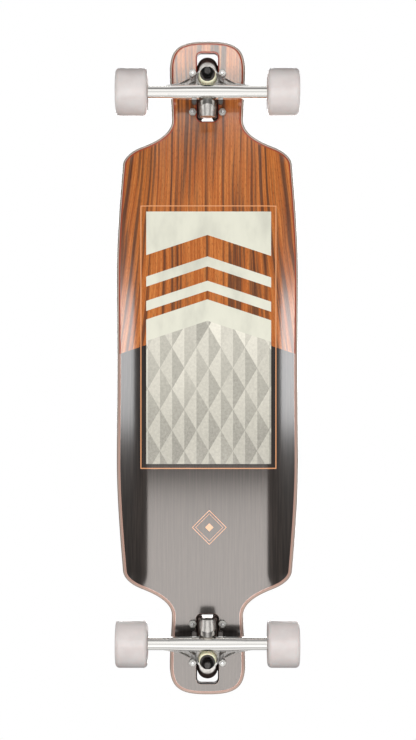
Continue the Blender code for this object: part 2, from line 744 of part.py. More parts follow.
FINISHES = {
    "baseplate": ("cast_metal", (0.55, 0.54, 0.53), 0.3, 1.0),
    "pivot_cup": ("cup_urethane", (0.1, 0.1, 0.1), 0.6, 0.0),
    "kingpin": ("dark_steel", (0.12, 0.12, 0.12), 0.4, 1.0),
    "boardside_washer": ("washer_steel", (0.6, 0.6, 0.6), 0.3, 1.0),
    "boardside_bushing": ("bushing_urethane", (0.78, 0.76, 0.62), 0.5, 0.0),
    "roadside_bushing": ("bushing_urethane_2", (0.78, 0.76, 0.62), 0.5, 0.0),
    "roadside_washer": ("black_steel", (0.03, 0.03, 0.03), 0.35, 0.5),
    "kingpin_nut": ("black_nut", (0.02, 0.02, 0.02), 0.4, 0.3),
}


def wheel_stack():
    """Small pieces on one end of the axle: name, mesh, distance out, turns with wheel."""
    inner = HANGER_HALF + RING_WIDTH / 2 + GAP
    bearing_in = HANGER_HALF + RING_WIDTH + 2 * GAP + BEARING_WIDTH / 2
    spacer = bearing_in + BEARING_WIDTH / 2 + GAP + SPACER_LENGTH / 2
    bearing_out = spacer + SPACER_LENGTH / 2 + GAP + BEARING_WIDTH / 2
    ring_out = bearing_out + BEARING_WIDTH / 2 + GAP + RING_WIDTH / 2
    nut = ring_out + RING_WIDTH / 2 + GAP
    steel = material("bearing_steel", (0.7, 0.7, 0.7), 0.25, 1.0)
    bearing = ring_mesh(AXLE_BORE, BEARING_RADIUS, BEARING_WIDTH, "bearing", 24)
    speed_ring = ring_mesh(AXLE_BORE, SPEED_RING_RADIUS, RING_WIDTH, "speed_ring", 16)
    tube = ring_mesh(AXLE_BORE, SPACER_RADIUS, SPACER_LENGTH, "spacer", 16)
    axle_nut = hexagon(AXLE_NUT_CORNERS, 0, AXLE_NUT_HEIGHT, AXLE_BORE, "axle_nut")
    for mesh in (bearing, speed_ring, tube, axle_nut):
        mesh.materials.append(steel)
    return (
        ("inner_speed_ring", speed_ring, inner, False),
        ("inner_bearing", bearing, bearing_in, True),
        ("spacer", tube, spacer, False),
        ("outer_bearing", bearing, bearing_out, True),
        ("outer_speed_ring", speed_ring, ring_out, False),
        ("axle_nut", axle_nut, nut, False),
    )


def make_trucks(parts):
    meshes = truck_meshes()
    for key, values in FINISHES.items():
        meshes[key].materials.append(material(*values))
    aluminium = material("polished_aluminium", (0.8, 0.79, 0.77), 0.18, 1.0)
    hanger = moved_origin(hanger_mesh(), PIVOT)
    hanger.materials.append(aluminium)
    across = Matrix.Rotation(-math.pi / 2, 4, "X")
    axle = rod(AXLE_RADIUS, -AXLE_HALF, AXLE_HALF, "axle", 20, across)
    round_shading(axle)
    axle.materials.append(meshes["kingpin"].materials[0])
    bolt = bolt_mesh()
    bolt.materials.append(material("zinc_bolt", (0.75, 0.75, 0.75), 0.25, 1.0))
    wheel = wheel_mesh()
    wheel.materials.append(material("wheel_urethane", (0.85, 0.74, 0.72), 0.35))
    stack = wheel_stack()

    for truck, side in (("front", 1), ("rear", -1)):
        turn = 0 if side == 1 else math.pi
        frame = empty(
            truck + "_truck", (side * WHEELBASE / 2, 0, AXLE_Z), parts, turn=turn)
        for key, mesh in meshes.items():
            link_piece(truck + "_" + key, mesh, parts, None, frame)
        for number, (x, y) in enumerate(bolt_places(), 1):
            piece = link_piece(
                truck + "_bolt_" + str(number), bolt, parts, None, frame)
            piece.location = (x, y, 0)

        steering = empty(truck + "_steering_axis", PIVOT, parts, frame)
        link_piece(truck + "_hanger", hanger, parts, None, steering)
        shaft = link_piece(truck + "_axle", axle, parts, None, steering)
        shaft.location = -PIVOT
        for hand, way in (("left", 1), ("right", -1)):
            out = way * side
            prefix = truck + "_" + hand + "_"
            lean = (-out * math.pi / 2, 0, 0)
            hub = empty(
                prefix + "wheel_axis", Vector((0, out * WHEEL_Y, 0)) - PIVOT, parts, steering)
            tyre = link_piece(prefix + "wheel", wheel, parts, None, hub)
            tyre.rotation_euler = lean
            for name, mesh, distance, turns in stack:
                carrier = hub if turns else steering
                start = Vector((0, out * WHEEL_Y, 0)) if turns else PIVOT
                piece = link_piece(prefix + name, mesh, parts, None, carrier)
                piece.location = Vector((0, out * distance, 0)) - start
                piece.rotation_euler = lean


def main():
    for old in list(bpy.data.objects):
        bpy.data.objects.remove(old)
    parts = bpy.data.collections.new("longboard")
    bpy.context.scene.collection.children.link(parts)
    make_deck(parts)
    make_grip_tape(parts)
    make_trucks(parts)


main()
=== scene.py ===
# %% [markdown]
# # A drop-through longboard, dressed for the camera
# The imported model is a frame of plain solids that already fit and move. This lesson gives each
# solid a finer mesh and a finish made of nodes, and keeps every piece where its solid is, so that
# a truck steers and a wheel spins as before.

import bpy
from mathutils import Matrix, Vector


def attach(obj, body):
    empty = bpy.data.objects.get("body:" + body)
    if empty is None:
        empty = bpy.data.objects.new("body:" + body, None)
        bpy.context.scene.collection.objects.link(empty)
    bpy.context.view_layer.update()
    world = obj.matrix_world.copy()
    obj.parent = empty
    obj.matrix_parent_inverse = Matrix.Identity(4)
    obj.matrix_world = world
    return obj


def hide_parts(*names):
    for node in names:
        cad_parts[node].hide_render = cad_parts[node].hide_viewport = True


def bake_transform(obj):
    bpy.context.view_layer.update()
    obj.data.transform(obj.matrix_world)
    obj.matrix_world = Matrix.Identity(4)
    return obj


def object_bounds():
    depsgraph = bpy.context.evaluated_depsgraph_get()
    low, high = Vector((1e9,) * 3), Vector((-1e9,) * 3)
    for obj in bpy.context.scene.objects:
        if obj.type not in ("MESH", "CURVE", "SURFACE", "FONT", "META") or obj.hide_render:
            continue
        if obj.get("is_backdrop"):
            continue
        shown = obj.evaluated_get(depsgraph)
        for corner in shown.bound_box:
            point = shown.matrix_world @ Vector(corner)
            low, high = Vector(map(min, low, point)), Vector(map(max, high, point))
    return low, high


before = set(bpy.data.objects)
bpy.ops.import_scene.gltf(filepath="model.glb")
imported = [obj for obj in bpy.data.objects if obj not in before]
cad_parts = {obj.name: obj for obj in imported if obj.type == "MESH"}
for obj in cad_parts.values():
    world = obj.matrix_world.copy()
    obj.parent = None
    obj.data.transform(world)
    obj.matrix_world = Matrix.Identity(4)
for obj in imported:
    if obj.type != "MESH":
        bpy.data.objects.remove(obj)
low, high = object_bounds()
cad_box = [list(low), list(high)]

# %% [markdown]
# ## The camera
# The board was photographed square on from underneath, nose up. A camera could be aimed with a
# constraint, but a plain matrix says it best here: its three columns are the directions of the
# picture's right, its top and its back. The lens follows from how much of the board's length
# fills the picture at that distance.

# %% Camera straight under the board
import math
from functools import partialmethod
import bmesh
import bpy
from mathutils import Matrix, Vector
from mathutils.geometry import interpolate_bezier

MM = 0.001
UNDERSIDE_Z = 82.5 * MM
DISTANCE = 2.2
VIEW_LENGTH = 1.0342
VIEW_MIDDLE = (-2.8 * MM, 0.7 * MM)


def shift(x, y, z):
    """A matrix that carries a shape along X, Y and Z."""
    return Matrix.Translation((x, y, z))


scene = bpy.context.scene
lens = bpy.data.cameras.new("camera")
lens.sensor_width = 24
lens.lens = lens.sensor_width * DISTANCE / VIEW_LENGTH
lens.clip_end = 200
camera = bpy.data.objects.new("camera", lens)
right_up_back = Matrix(((0, 1, 0), (1, 0, 0), (0, 0, -1))).to_4x4()
camera.matrix_world = shift(*VIEW_MIDDLE, UNDERSIDE_Z - DISTANCE) @ right_up_back
scene.collection.objects.link(camera)
scene.camera = camera
scene.view_settings.view_transform = "Standard"
print("camera:", round(lens.lens, 2), "mm lens,", DISTANCE, "m under the deck")

# %% [markdown]
# ## The studio
# Varnish and polished metal show the room more than they show themselves, so the lights are laid
# out by what they are mirrored in. A flat surface seen from straight below mirrors whatever lies
# beside the camera, twice as far off axis as the point that is looked at. The raised rails lean
# outwards, so they mirror strips that stand far out to the sides. Metal needs lamps a tenth as
# bright as varnish does, for it mirrors nearly all of what it sees. One set of lamps for all would
# be simpler, but couldn't suit both. So each lamp is linked to one group of pieces, as a
# photographer would flag it off from the rest: the deck, the metal, the bolts, the wheels or the
# bushings. Only the one overhead lights them all. A lamp hides another that lies in its own plane,
# so the lamp for the bolts' tips stands a little nearer than the big ones under the board.
#
# The floor lies deep under the camera, because the board is seen from below. A sun of its own
# keeps it pale, and it throws no light back up, which would wash out the varnish.

# %% A pale world and floor
def linear(red, green, blue):
    """A colour picked as 0 to 255 on screen, as the shader wants it."""
    shares = [value / 255 for value in (red, green, blue)]
    return tuple(s / 12.92 if s <= 0.04045 else ((s + 0.055) / 1.055) ** 2.4 for s in shares) + (1,)


SKY_COLOUR, SKY_STRENGTH = (1, 0.99, 0.98, 1), 0.09
world = bpy.data.worlds.new("studio")
world.use_nodes = True
scene.world = world
sky = world.node_tree
shown = sky.nodes["Background"]
shown.inputs["Color"].default_value = (1, 1, 1, 1)
lit = sky.nodes.new("ShaderNodeBackground")
lit.inputs["Color"].default_value = SKY_COLOUR
lit.inputs["Strength"].default_value = SKY_STRENGTH
rays = sky.nodes.new("ShaderNodeLightPath")
either = sky.nodes.new("ShaderNodeMixShader")
sky.links.new(rays.outputs["Is Camera Ray"], either.inputs[0])
sky.links.new(lit.outputs[0], either.inputs[1])
sky.links.new(shown.outputs[0], either.inputs[2])
sky.links.new(either.outputs[0], sky.nodes["World Output"].inputs["Surface"])

# %% Floor
FLOOR_HALF, FLOOR_Z = 30, -6
floor_mesh = bpy.data.meshes.new("floor")
bm = bmesh.new()
bmesh.ops.create_grid(bm, x_segments=1, y_segments=1, size=FLOOR_HALF, matrix=shift(0, 0, FLOOR_Z))
bm.to_mesh(floor_mesh)
bm.free()
floor = bpy.data.objects.new("floor", floor_mesh)
floor.visible_diffuse = floor.visible_glossy = False
scene.collection.objects.link(floor)
floor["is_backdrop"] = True
print("floor:", floor.dimensions.x, "m wide")

# %% Softboxes, aimed at the board
GROUPS = ("deck", "metal", "bolt", "wheel", "cushion")
LIT_AS = {group: bpy.data.collections.new("lit as " + group) for group in GROUPS}


def softbox(name, place, aim, size, power, group=None, colour=(1, 1, 1)):
    """A rectangular lamp at a place, facing a point. Size is (along X or Z, across)."""
    lamp = bpy.data.lights.new(name, "AREA")
    lamp.shape = "RECTANGLE"
    lamp.size, lamp.size_y = size
    lamp.energy, lamp.color = power, colour
    made = bpy.data.objects.new(name, lamp)
    turn = (Vector(aim) - Vector(place)).to_track_quat("-Z", "Y")
    made.matrix_world = shift(*place) @ turn.to_matrix().to_4x4()
    made.visible_camera = False
    made.light_linking.receiver_collection = LIT_AS[group] if group else None
    scene.collection.objects.link(made)


MIDDLE = (0, 0, 0)
UNDER, UNDER_NEARER, LOW_DOWN = -2.3, -2.2, -1.6
BESIDE, BEYOND = 2.3, 2.35
NOSE_TRUCK, TAIL_TRUCK = (0.38, 0, 0.05), (-0.38, 0, 0.05)

softbox("under_tail", (-0.775, 0, UNDER), (-0.775, 0, 0), (0.87, 1.66), 38, "deck", (1, 0.93, 0.88))
softbox("under_nose", (0.99, 0, UNDER), (0.99, 0, 0), (0.42, 0.6), 8.2, "deck", (0.9, 0.97, 0.96))
softbox("under_all", (0, 0, UNDER), MIDDLE, (5.2, 2.2), 24, "metal")
softbox("middle_band", (0, 0, -0.8), MIDDLE, (0.5, 1.0), 0.5, "metal")
softbox("under_wheels", (0, 0, UNDER), MIDDLE, (1.5, 2.2), 38, "wheel")
softbox("under_cushions", (0, 0, UNDER), MIDDLE, (3, 2.2), 115, "cushion")
for side, truck in ((-1, TAIL_TRUCK), (1, NOSE_TRUCK)):
    beyond, beside = side * BEYOND, side * BESIDE
    softbox("side_strip", (0.02, side * 1.72, -1.7), (0.02, side * 0.11, 0.08), (0.4, 0.8),
            11.4 + side, "deck")
    softbox("end_fill", (beyond, 0, LOW_DOWN), truck, (1.9, 2.6), 23, "deck")
    softbox("end_band", (side * 0.61, 0, -0.37), (side * 0.61, 0, 0), (0.36, 1.2), 0.3, "metal")
    softbox("end_low", (beyond, 0, LOW_DOWN), truck, (0.9, 2.6), 1.8 - 0.4 * side, "metal")
    softbox("end_level", (beyond, 0, -0.62), truck, (1.25, 3.2), 2.5 - 2.1 * side, "metal")
    softbox("side_wall", (0, beside, -1.1), MIDDLE, (3.5, 1.6), 15.5, "metal")
    softbox("wheel_end", (beyond, 0, LOW_DOWN), truck, (0.9, 2.6), 12, "wheel")
    softbox("wheel_side", (0, beside, -1.1), MIDDLE, (3.5, 1.6), 8, "wheel")
    softbox("wheel_level", (0, beside, 0.6), (0, 0, 0.03), (3.5, 1.2), 16, "wheel")
    softbox("bolt_tips", (side * 0.8, 0, UNDER_NEARER), (side * 0.8, 0, 0), (1.3, 1.3), 2.4, "bolt")
softbox("high_nose", (BEYOND, 0, 0.95), NOSE_TRUCK, (1.1, 2.4), 6.5, "metal")
softbox("high_tail", (-BEYOND, 0, 0.9), TAIL_TRUCK, (1.5, 2.4), 5, "metal")
softbox("overhead", (0.3, 0.2, 2.4), MIDDLE, (2.2, 1.6), 75)

# %% The floor's own sun
sun = bpy.data.lights.new("floor_sun", "SUN")
sun.energy, sun.angle = 2.9, math.radians(20)
floor_sun = bpy.data.objects.new("floor_sun", sun)
floor_sun.light_linking.receiver_collection = bpy.data.collections.new("lit as floor")
floor_sun.light_linking.receiver_collection.objects.link(floor)
scene.collection.objects.link(floor_sun)

# %% [markdown]
# ## Small helpers for finishes
# Every finish here starts from the Principled shader and a handful of the same nodes: numbers
# worked out by Math, colours joined by Mix, patterns from Noise. Written out node by node, a sum
# of five terms fills a screen. So what a node gives is wrapped in a small class, on which +, -, *,
# /, < and > each put the Math node of that name, and a finish reads as a recipe.

# %% Sums made of nodes
class Value:
    """What a node gives out. Arithmetic on it adds Math nodes to the same tree."""

    def __init__(self, socket):
        self.socket, self.tree = socket, socket.id_data

    def step(self, operation, *others, clamp=False):
        """One Math node, with this value first."""
        inputs = dict(enumerate([self, *others]))
        return add(self.tree, "Math", inputs, operation=operation, use_clamp=clamp)

    def __rsub__(self, other):
        return add(self.tree, "Math", {0: other, 1: self}, operation="SUBTRACT")

    __add__ = __radd__ = partialmethod(step, "ADD")
    __mul__ = partialmethod(step, "MULTIPLY")
    __sub__ = partialmethod(step, "SUBTRACT")
    __truediv__ = partialmethod(step, "DIVIDE")
    __gt__ = partialmethod(step, "GREATER_THAN")
    __lt__ = partialmethod(step, "LESS_THAN")
    __abs__ = partialmethod(step, "ABSOLUTE")


def add(tree, kind, inputs, output=0, **settings):
    """What a new node gives, once it has its settings, its values and its incoming links."""
    node = tree.nodes.new("ShaderNode" + kind)
    for key, value in settings.items():
        setattr(node, key, value)
    for key, value in inputs.items():
        if isinstance(value, Value):
            tree.links.new(value.socket, node.inputs[key])
        else:
            node.inputs[key].default_value = value
    return Value(node.outputs[output])


# %% Node helpers
def finish(name, colour, roughness, metallic=0.0):
    """A new material with its node tree and its shader."""
    made = bpy.data.materials.new(name)
    made.use_nodes = True
    shader = made.node_tree.nodes["Principled BSDF"]
    shader.inputs["Base Color"].default_value = linear(*colour)
    shader.inputs["Roughness"].default_value = roughness
    shader.inputs["Metallic"].default_value = metallic
    return made, made.node_tree, shader


def axes(tree):
    """The piece's own x, y and z."""
    split = add(tree, "SeparateXYZ", {0: add(tree, "TexCoord", {}, "Object")})
    return [Value(output) for output in split.socket.node.outputs]


def mix(share, first, second):
    """First colour where share is 0, second where it is 1. A plain colour is given as 0 to 255."""
    first, second = (tint if isinstance(tint, Value) else linear(*tint) for tint in (first, second))
    return add(share.tree, "Mix", {0: share, 6: first, 7: second}, 2, data_type="RGBA")


def ramp(value, start, end):
    """0 below start, 1 above end, smooth between."""
    inputs = {"Value": value, "From Min": start, "From Max": end}
    return add(value.tree, "MapRange", inputs, interpolation_type="SMOOTHSTEP")


def noise(tree, scale, detail=3.0, roughness=0.5, stretch=(1, 1, 1), source=None):
    """A noise pattern on the piece's own coordinates, drawn out by a stretch along X, Y and Z."""
    source = source or add(tree, "TexCoord", {}, "Object")
    placed = add(tree, "Mapping", {"Vector": source, "Scale": stretch})
    inputs = {"Vector": placed, "Scale": scale, "Detail": detail, "Roughness": roughness}
    return add(tree, "TexNoise", inputs)


def feed(shader, key, value):
    """Let a value set one of the shader's sockets."""
    value.tree.links.new(value.socket, shader.inputs[key])


def emboss(shader, height, strength, depth=0.0002):
    """Let a pattern stand up from the surface."""
    inputs = {"Height": height, "Strength": strength, "Distance": depth}
    feed(shader, "Normal", add(height.tree, "Bump", inputs))


# %% [markdown]
# ## The veneer and its print
# The underside is a striped tropical veneer under clear varnish. Its stripes run along the board
# and lean inwards near the rails, where the press has pulled the sheet over the curve. A picture
# of wood would be the easy way. Noise that is drawn out forty times along the board gives the same
# stripes at any size: broad bands for the dark heartwood, thin ones for the grain inside them.

# %% Where things are printed, in metres from the deck's middle
FRAME_LINE = (-141.0 * MM, 227.2 * MM, -93.8 * MM, 96.4 * MM)
PANEL = (-134.2 * MM, 218.7 * MM, -85.7 * MM, 89.0 * MM)
LINE_WIDTH = 1.3 * MM
PAINT_TIP_X = 60.5 * MM
CHEVRON_SLOPE = 0.33
BADGE_X, BADGE_Y, BADGE_REACH = -222.8 * MM, 2.5 * MM, 24.2 * MM


def inside(x, y, box):
    """1 inside a box given as x low, x high, y low, y high."""
    x_low, x_high, y_low, y_high = box
    return (x > x_low) * (x < x_high) * ((y > y_low) * (y < y_high))


# %% Veneer: lean the stripes, then colour them
def veneer(tree, x, y):
    """Colour and grain height of the striped veneer."""
    lean = ramp(abs(y), 45 * MM, 105 * MM) * 0.13
    pull = lean * y.step("SIGN") * (x - 0.12)
    wander = noise(tree, 3.0, 1.0, 0.5, (2.2, 2.2, 0))
    sheet = add(tree, "CombineXYZ", {0: x, 1: y + pull + wander * (9 * MM), 2: 0.31})

    broad = noise(tree, 165, 2.0, 0.5, (0.022, 1, 1), sheet)
    fine = noise(tree, 420, 3.0, 0.6, (0.03, 1, 1), sheet)
    pores = noise(tree, 1300, 2.0, 0.6, (0.14, 1, 1), sheet)
    dark = ramp(broad * 0.72 + fine * 0.28, 0.455, 0.595)
    warm = mix(ramp(fine, 0.35, 0.68), (170, 92, 41), (201, 125, 64))
    heart = mix(ramp(fine, 0.3, 0.7), (84, 46, 30), (116, 74, 48))
    colour = mix(dark, warm, heart)
    colour = mix(ramp(pores, 0.5, 0.7) * 0.5, colour, (70, 36, 22))
    return colour, pores


# %% [markdown]
# ### The panel between the trucks
# The print is a plain quilt of diamonds in cream and stone greys over three chevrons that leave
# the veneer bare. Diamonds come from two slanted counts: rounding both down numbers each cell,
# and a hash of that number gives it a tone. One half of each diamond is shaded, like a folded
# paper pattern.

# %% Diamond quilt
CELL_WIDE, CELL_LONG, QUILT_MIDDLE_Y = 34 * MM, 58 * MM, 1.6 * MM
CHEVRONS_START = 66 * MM
CHEVRONS = ((96 * MM, 12 * MM), (122 * MM, 20 * MM), (156 * MM, 30 * MM))


def quilt(tree, x, y):
    """Stone colours of the folded-paper pattern, darker towards the tail."""
    across = (y - QUILT_MIDDLE_Y) / CELL_WIDE
    down = x / CELL_LONG
    first, second = across + down, across - down
    number = add(tree, "CombineXYZ", {0: first.step("FLOOR"), 1: second.step("FLOOR"), 2: 3.7})
    tone = add(tree, "TexWhiteNoise", {"Vector": number}, "Value", noise_dimensions="3D")
    shade = first.step("FRACT") + second.step("FRACT") > 1.0
    deeper = ramp(x * -1, -0.09, 0.14)
    light = 0.62 + tone * 0.38 - shade * 0.2 - deeper * (tone * 0.5)
    grain = noise(tree, 260, 6.0, 0.75, (1, 1, 0))
    light = light.step("ADD", (grain - 0.5) * 0.5, clamp=True)
    return mix(light, (58, 58, 54), (236, 234, 222))


def panel_print(tree, x, y, wood):
    """Cream sky with three bare chevrons, and the quilt under it."""
    rise = x + abs(y) * CHEVRON_SLOPE
    clouds = noise(tree, 9, 4.0, 0.6, (1, 2.2, 0))
    cream = mix(ramp(clouds, 0.4, 0.75), (219, 220, 206), (198, 199, 187))
    colour = mix(rise < CHEVRONS_START, cream, quilt(tree, x, y))
    for start, wide in CHEVRONS:
        colour = mix((rise > start) * (rise < start + wide), colour, wood)
    return colour


# %% Deck finish: the wood and what is printed on it
deck_finish, tree, shader = finish("varnished_deck", (200, 120, 75), 0.3)
x, y, _ = axes(tree)
wood, grain = veneer(tree, x, y)
painted = x + abs(y) * CHEVRON_SLOPE < PAINT_TIP_X
streaks = noise(tree, 420, 3.0, 0.6, (0.03, 1, 0))
face = mix(painted, wood, mix(ramp(streaks, 0.35, 0.7), (36, 32, 30), (52, 46, 43)))
face = mix(inside(x, y, PANEL), face, panel_print(tree, x, y, wood))

shrunk = [edge + (LINE_WIDTH if place % 2 == 0 else -LINE_WIDTH) for place, edge in enumerate(FRAME_LINE)]
line = inside(x, y, FRAME_LINE) - inside(x, y, shrunk)
reach = abs(x - BADGE_X) + abs(y - BADGE_Y)
RINGS = ((BADGE_REACH, 1.1 * MM), (BADGE_REACH * 0.8, 0.7 * MM), (BADGE_REACH * 0.24, BADGE_REACH))
for outside, width in RINGS:
    line = line.step("ADD", (reach < outside) * (reach > outside - width), clamp=True)
face = mix(line, face, (222, 158, 112))

# %% [markdown]
# ### Plies on the edge
# The rounded edge cuts through the plies, so it shows thin bands. They follow how deep the cutter
# went and not where the edge stands in the room, because the rails are bent up afterwards. So the
# mesh stores each point's depth through the flat blank, and the finish reads it.

# %% Deck finish: the edge, the windows' rims and the varnish
PLY_STEPS = (
    (0.001, (158, 76, 52)), (0.05, (96, 64, 56)), (0.06, (212, 196, 184)), (0.14, (136, 120, 108)),
    (0.27, (184, 166, 150)), (0.42, (78, 58, 50)), (0.45, (196, 168, 132)), (0.6, (86, 62, 50)),
    (0.63, (188, 160, 126)), (0.78, (80, 58, 48)), (0.81, (152, 66, 48)), (0.93, (36, 32, 30)))
EDGE_STARTS, PALE_EDGE_ENDS, WINDOW_STARTS = 0.001, 0.42, 0.004
WHEELBASE = 753 * MM
CUTOUT = (-31.6 * MM, 64 * MM, 14.6 * MM)
CUTOUT_CORNER, CUTOUT_RIM = 6 * MM, 2 * MM

depth = add(tree, "Attribute", {}, "Fac", attribute_name="depth")
colour = face
for start, tint in PLY_STEPS:
    colour = mix(depth > start, colour, tint)
pale_edge = (depth > EDGE_STARTS) * (depth < PALE_EDGE_ENDS) * painted * 0.74
colour = mix(pale_edge, colour, (188, 164, 153))
from_axle = abs(x) - WHEELBASE / 2
window = (CUTOUT[0] - CUTOUT_RIM, CUTOUT[1] + CUTOUT_RIM, -CUTOUT[2] - CUTOUT_RIM, CUTOUT[2] + CUTOUT_RIM)
cut = inside(from_axle, y, window) * (depth > WINDOW_STARTS)
# Painted highlight: on the bare-wood half, the rounding of each window's outboard rim is lightened to pink.
facing = (from_axle > CUTOUT[1] - CUTOUT_RIM) * (1.0 - painted) * ramp(depth, 0.02, 0.05)
rim = mix(facing, mix(painted, (150, 66, 50), (30, 26, 24)), (226, 150, 136))
feed(shader, "Base Color", mix(cut, colour, rim))
feed(shader, "Roughness", 0.24 + grain * 0.14)
shader.inputs["Specular IOR Level"].default_value = 0.1
shader.inputs["Coat Weight"].default_value = 1.0
shader.inputs["Coat Roughness"].default_value = 0.12
emboss(shader, grain, 0.12, 0.0001)
print("deck finish:", len(tree.nodes), "nodes")

# %% Sawn wall of the windows: bare plies without varnish, coloured dark as painted shade
sawn_and_shaded, tree, shader = finish("sawn_plies_painted_shade", (70, 46, 38), 0.85)
layers = noise(tree, 900, 2.0, 0.5, (0.1, 0.1, 1))
# Partly painted shade: the bare plies are coloured dark brown, as the inside of the window looks in shade.
feed(shader, "Base Color", mix(ramp(layers, 0.4, 0.6), (58, 34, 28), (86, 60, 48)))
emboss(shader, noise(tree, 1200, stretch=(1, 1, 0.2)), 0.3)

# %% [markdown]
# ## The deck's blank
# A real deck is a flat stack of veneers, cut to a template and bent in a press. It could be
# modelled with a subdivided cage, but the template's outline is what people know a board by, so it
# comes first: one quarter as smooth curves, mirrored twice, filled, and pulled up to thickness.

# %% One quarter of the outline, tip to waist: start, two handles, steps
OUTLINE = (
    ((457.0, 0.0), (457.5, 41.0), (446.0, 51.0), 24),
    ((420.0, 52.7), (395.0, 53.2), (366.0, 50.0), 8),
    ((346.6, 49.8), (329.0, 49.6), (317.0, 71.5), 14),
    ((310.0, 91.0), (304.5, 106.3), (296.0, 118.3), 14),
    ((285.0, 118.9), (270.0, 120.2), (190.0, 127.8), 14),
    ((133.0, 127.8), (90.0, 127.8), (45.0, 126.8), 8),
)
WAIST = (0.0, 126.8)
DECK_THICKNESS = 11 * MM
EDGE_ROUND = 5.4 * MM
DECK_TOP_Z = UNDERSIDE_Z + DECK_THICKNESS


def outline_face(bm, z):
    """The whole outline as one face at a height."""
    ends = [row[0] for row in OUTLINE[1:]] + [WAIST]
    chain = []
    for (start, handle_a, handle_b, steps), end in zip(OUTLINE, ends):
        knots = [Vector((px * MM, py * MM, z)) for px, py in (start, handle_a, handle_b, end)]
        chain += interpolate_bezier(*knots, steps + 1)[:-1]
    chain.append(Vector((WAIST[0] * MM, WAIST[1] * MM, z)))
    verts = [bm.verts.new(point) for point in chain]
    for pair in zip(verts, verts[1:]):
        bm.edges.new(pair)
    for axis in ("X", "Y"):
        bmesh.ops.mirror(bm, geom=bm.verts[:] + bm.edges[:], axis=axis, merge_dist=MM / 50)
    return bmesh.ops.edgeloop_fill(bm, edges=bm.edges[:])["faces"][0]


def raise_plate(bm, face, thickness):
    """Pull a face up into a plate and turn its skin outwards."""
    lifted = bmesh.ops.extrude_face_region(bm, geom=[face])["geom"]
    top = [item for item in lifted if isinstance(item, bmesh.types.BMVert)]
    bmesh.ops.translate(bm, verts=top, vec=(0, 0, thickness))
    bmesh.ops.recalc_face_normals(bm, faces=bm.faces[:])


# %% [markdown]
# ### Room to bend
# A flat face can't bend without points in it. A grid all over would waste most of them, as only
# the rails rise. So the blank is sliced lengthwise under the rails and crosswise where the rise
# fades out towards the necks.

# %% Slices, and the rails' rise
FLAT_HALF_WIDTH = 75 * MM
HALF_WIDTH = 127.8 * MM
RAIL_RISE = 13 * MM
CONCAVE_POWER = 1.6
CONCAVE_FULL_X, CONCAVE_END_X = 285 * MM, 340 * MM
RAIL_SLICES, FADE_SLICES = 14, 16


def slice_for_bending(bm):
    """Cut lines under the rails and across the fade."""
    cuts = []
    for side in (-1, 1):
        for step in range(RAIL_SLICES):
            place = FLAT_HALF_WIDTH + (HALF_WIDTH - FLAT_HALF_WIDTH) * step / RAIL_SLICES
            cuts.append(((0, side * place, 0), (0, 1, 0)))
        for step in range(FADE_SLICES + 1):
            place = CONCAVE_FULL_X + (CONCAVE_END_X - CONCAVE_FULL_X) * step / FADE_SLICES
            cuts.append(((side * place, 0, 0), (1, 0, 0)))
    for point, normal in cuts:
        whole = bm.verts[:] + bm.edges[:] + bm.faces[:]
        bmesh.ops.bisect_plane(bm, geom=whole, dist=MM / 100, plane_co=point, plane_no=normal)


def rail_rise(point):
    """How high the press lifts a point of the blank."""
    across = min(1, max(0, (abs(point.y) - FLAT_HALF_WIDTH) / (HALF_WIDTH - FLAT_HALF_WIDTH)))
    fade = min(1, max(0, (CONCAVE_END_X - abs(point.x)) / (CONCAVE_END_X - CONCAVE_FULL_X)))
    return RAIL_RISE * across ** CONCAVE_POWER * fade * fade * (3 - 2 * fade)


# %% [markdown]
# ### Shaping tools
# Turned parts, rounded blocks and Boolean cuts come back all through the board, so each gets a
# short helper. `lathe` spins a half-profile, `block` is a box with rounded upright edges, and
# `shaped` joins and cuts shapes with exact Boolean modifiers and hands back the finished mesh.

# %% Mesh helpers
def to_mesh(bm, name):
    """Merge doubles, face outwards, and leave bmesh."""
    bmesh.ops.remove_doubles(bm, verts=bm.verts[:], dist=MM / 200)
    bmesh.ops.recalc_face_normals(bm, faces=bm.faces[:])
    mesh = bpy.data.meshes.new(name)
    bm.to_mesh(mesh)
    bm.free()
    return mesh


def soften(bm, edges, amount, segments=3):
    """Round some edges off."""
    bmesh.ops.bevel(
        bm, geom=edges, offset=amount, offset_type="OFFSET", segments=segments,
        profile=0.5, affect="EDGES", material=-1)


def sharp_edges(bm, degrees=30):
    """Edges whose two faces meet at more than an angle."""
    return [edge for edge in bm.edges
            if len(edge.link_faces) == 2 and edge.calc_face_angle() > math.radians(degrees)]


def lathe(profile, segments=48, closed=False):
    """Spin a half-profile of (radius, height) points round Z."""
    bm = bmesh.new()
    verts = [bm.verts.new((radius, 0, height)) for radius, height in profile]
    edges = [bm.edges.new(pair) for pair in zip(verts, verts[1:])]
    if closed:
        edges.append(bm.edges.new((verts[-1], verts[0])))
    bmesh.ops.spin(
        bm, geom=verts + edges, cent=(0, 0, 0), axis=(0, 0, 1), dvec=(0, 0, 0),
        angle=math.tau, steps=segments, use_merge=True, use_duplicate=False)
    bmesh.ops.remove_doubles(bm, verts=bm.verts[:], dist=MM / 200)
    bmesh.ops.recalc_face_normals(bm, faces=bm.faces[:])
    return bm


def block(x_low, x_high, y_low, y_high, z_low, z_high, corner, segments=6):
    """Box with rounded upright edges."""
    bm = bmesh.new()
    centre = Vector(((x_low + x_high) / 2, (y_low + y_high) / 2, (z_low + z_high) / 2))
    size = Matrix.Diagonal((x_high - x_low, y_high - y_low, z_high - z_low, 1))
    bmesh.ops.create_cube(bm, size=1, matrix=shift(*centre) @ size)
    upright = [edge for edge in bm.edges if abs(edge.verts[0].co.z - edge.verts[1].co.z) > MM / 10]
    soften(bm, upright, corner, segments)
    return bm


def rod(radius, low, high, place=Matrix(), segments=48):
    """Plain cylinder on its own axis, to join or to cut with."""
    bm = bmesh.new()
    bmesh.ops.create_cone(
        bm, cap_ends=True, segments=segments, radius1=radius, radius2=radius, depth=high - low,
        matrix=place @ shift(0, 0, (low + high) / 2))
    return bm


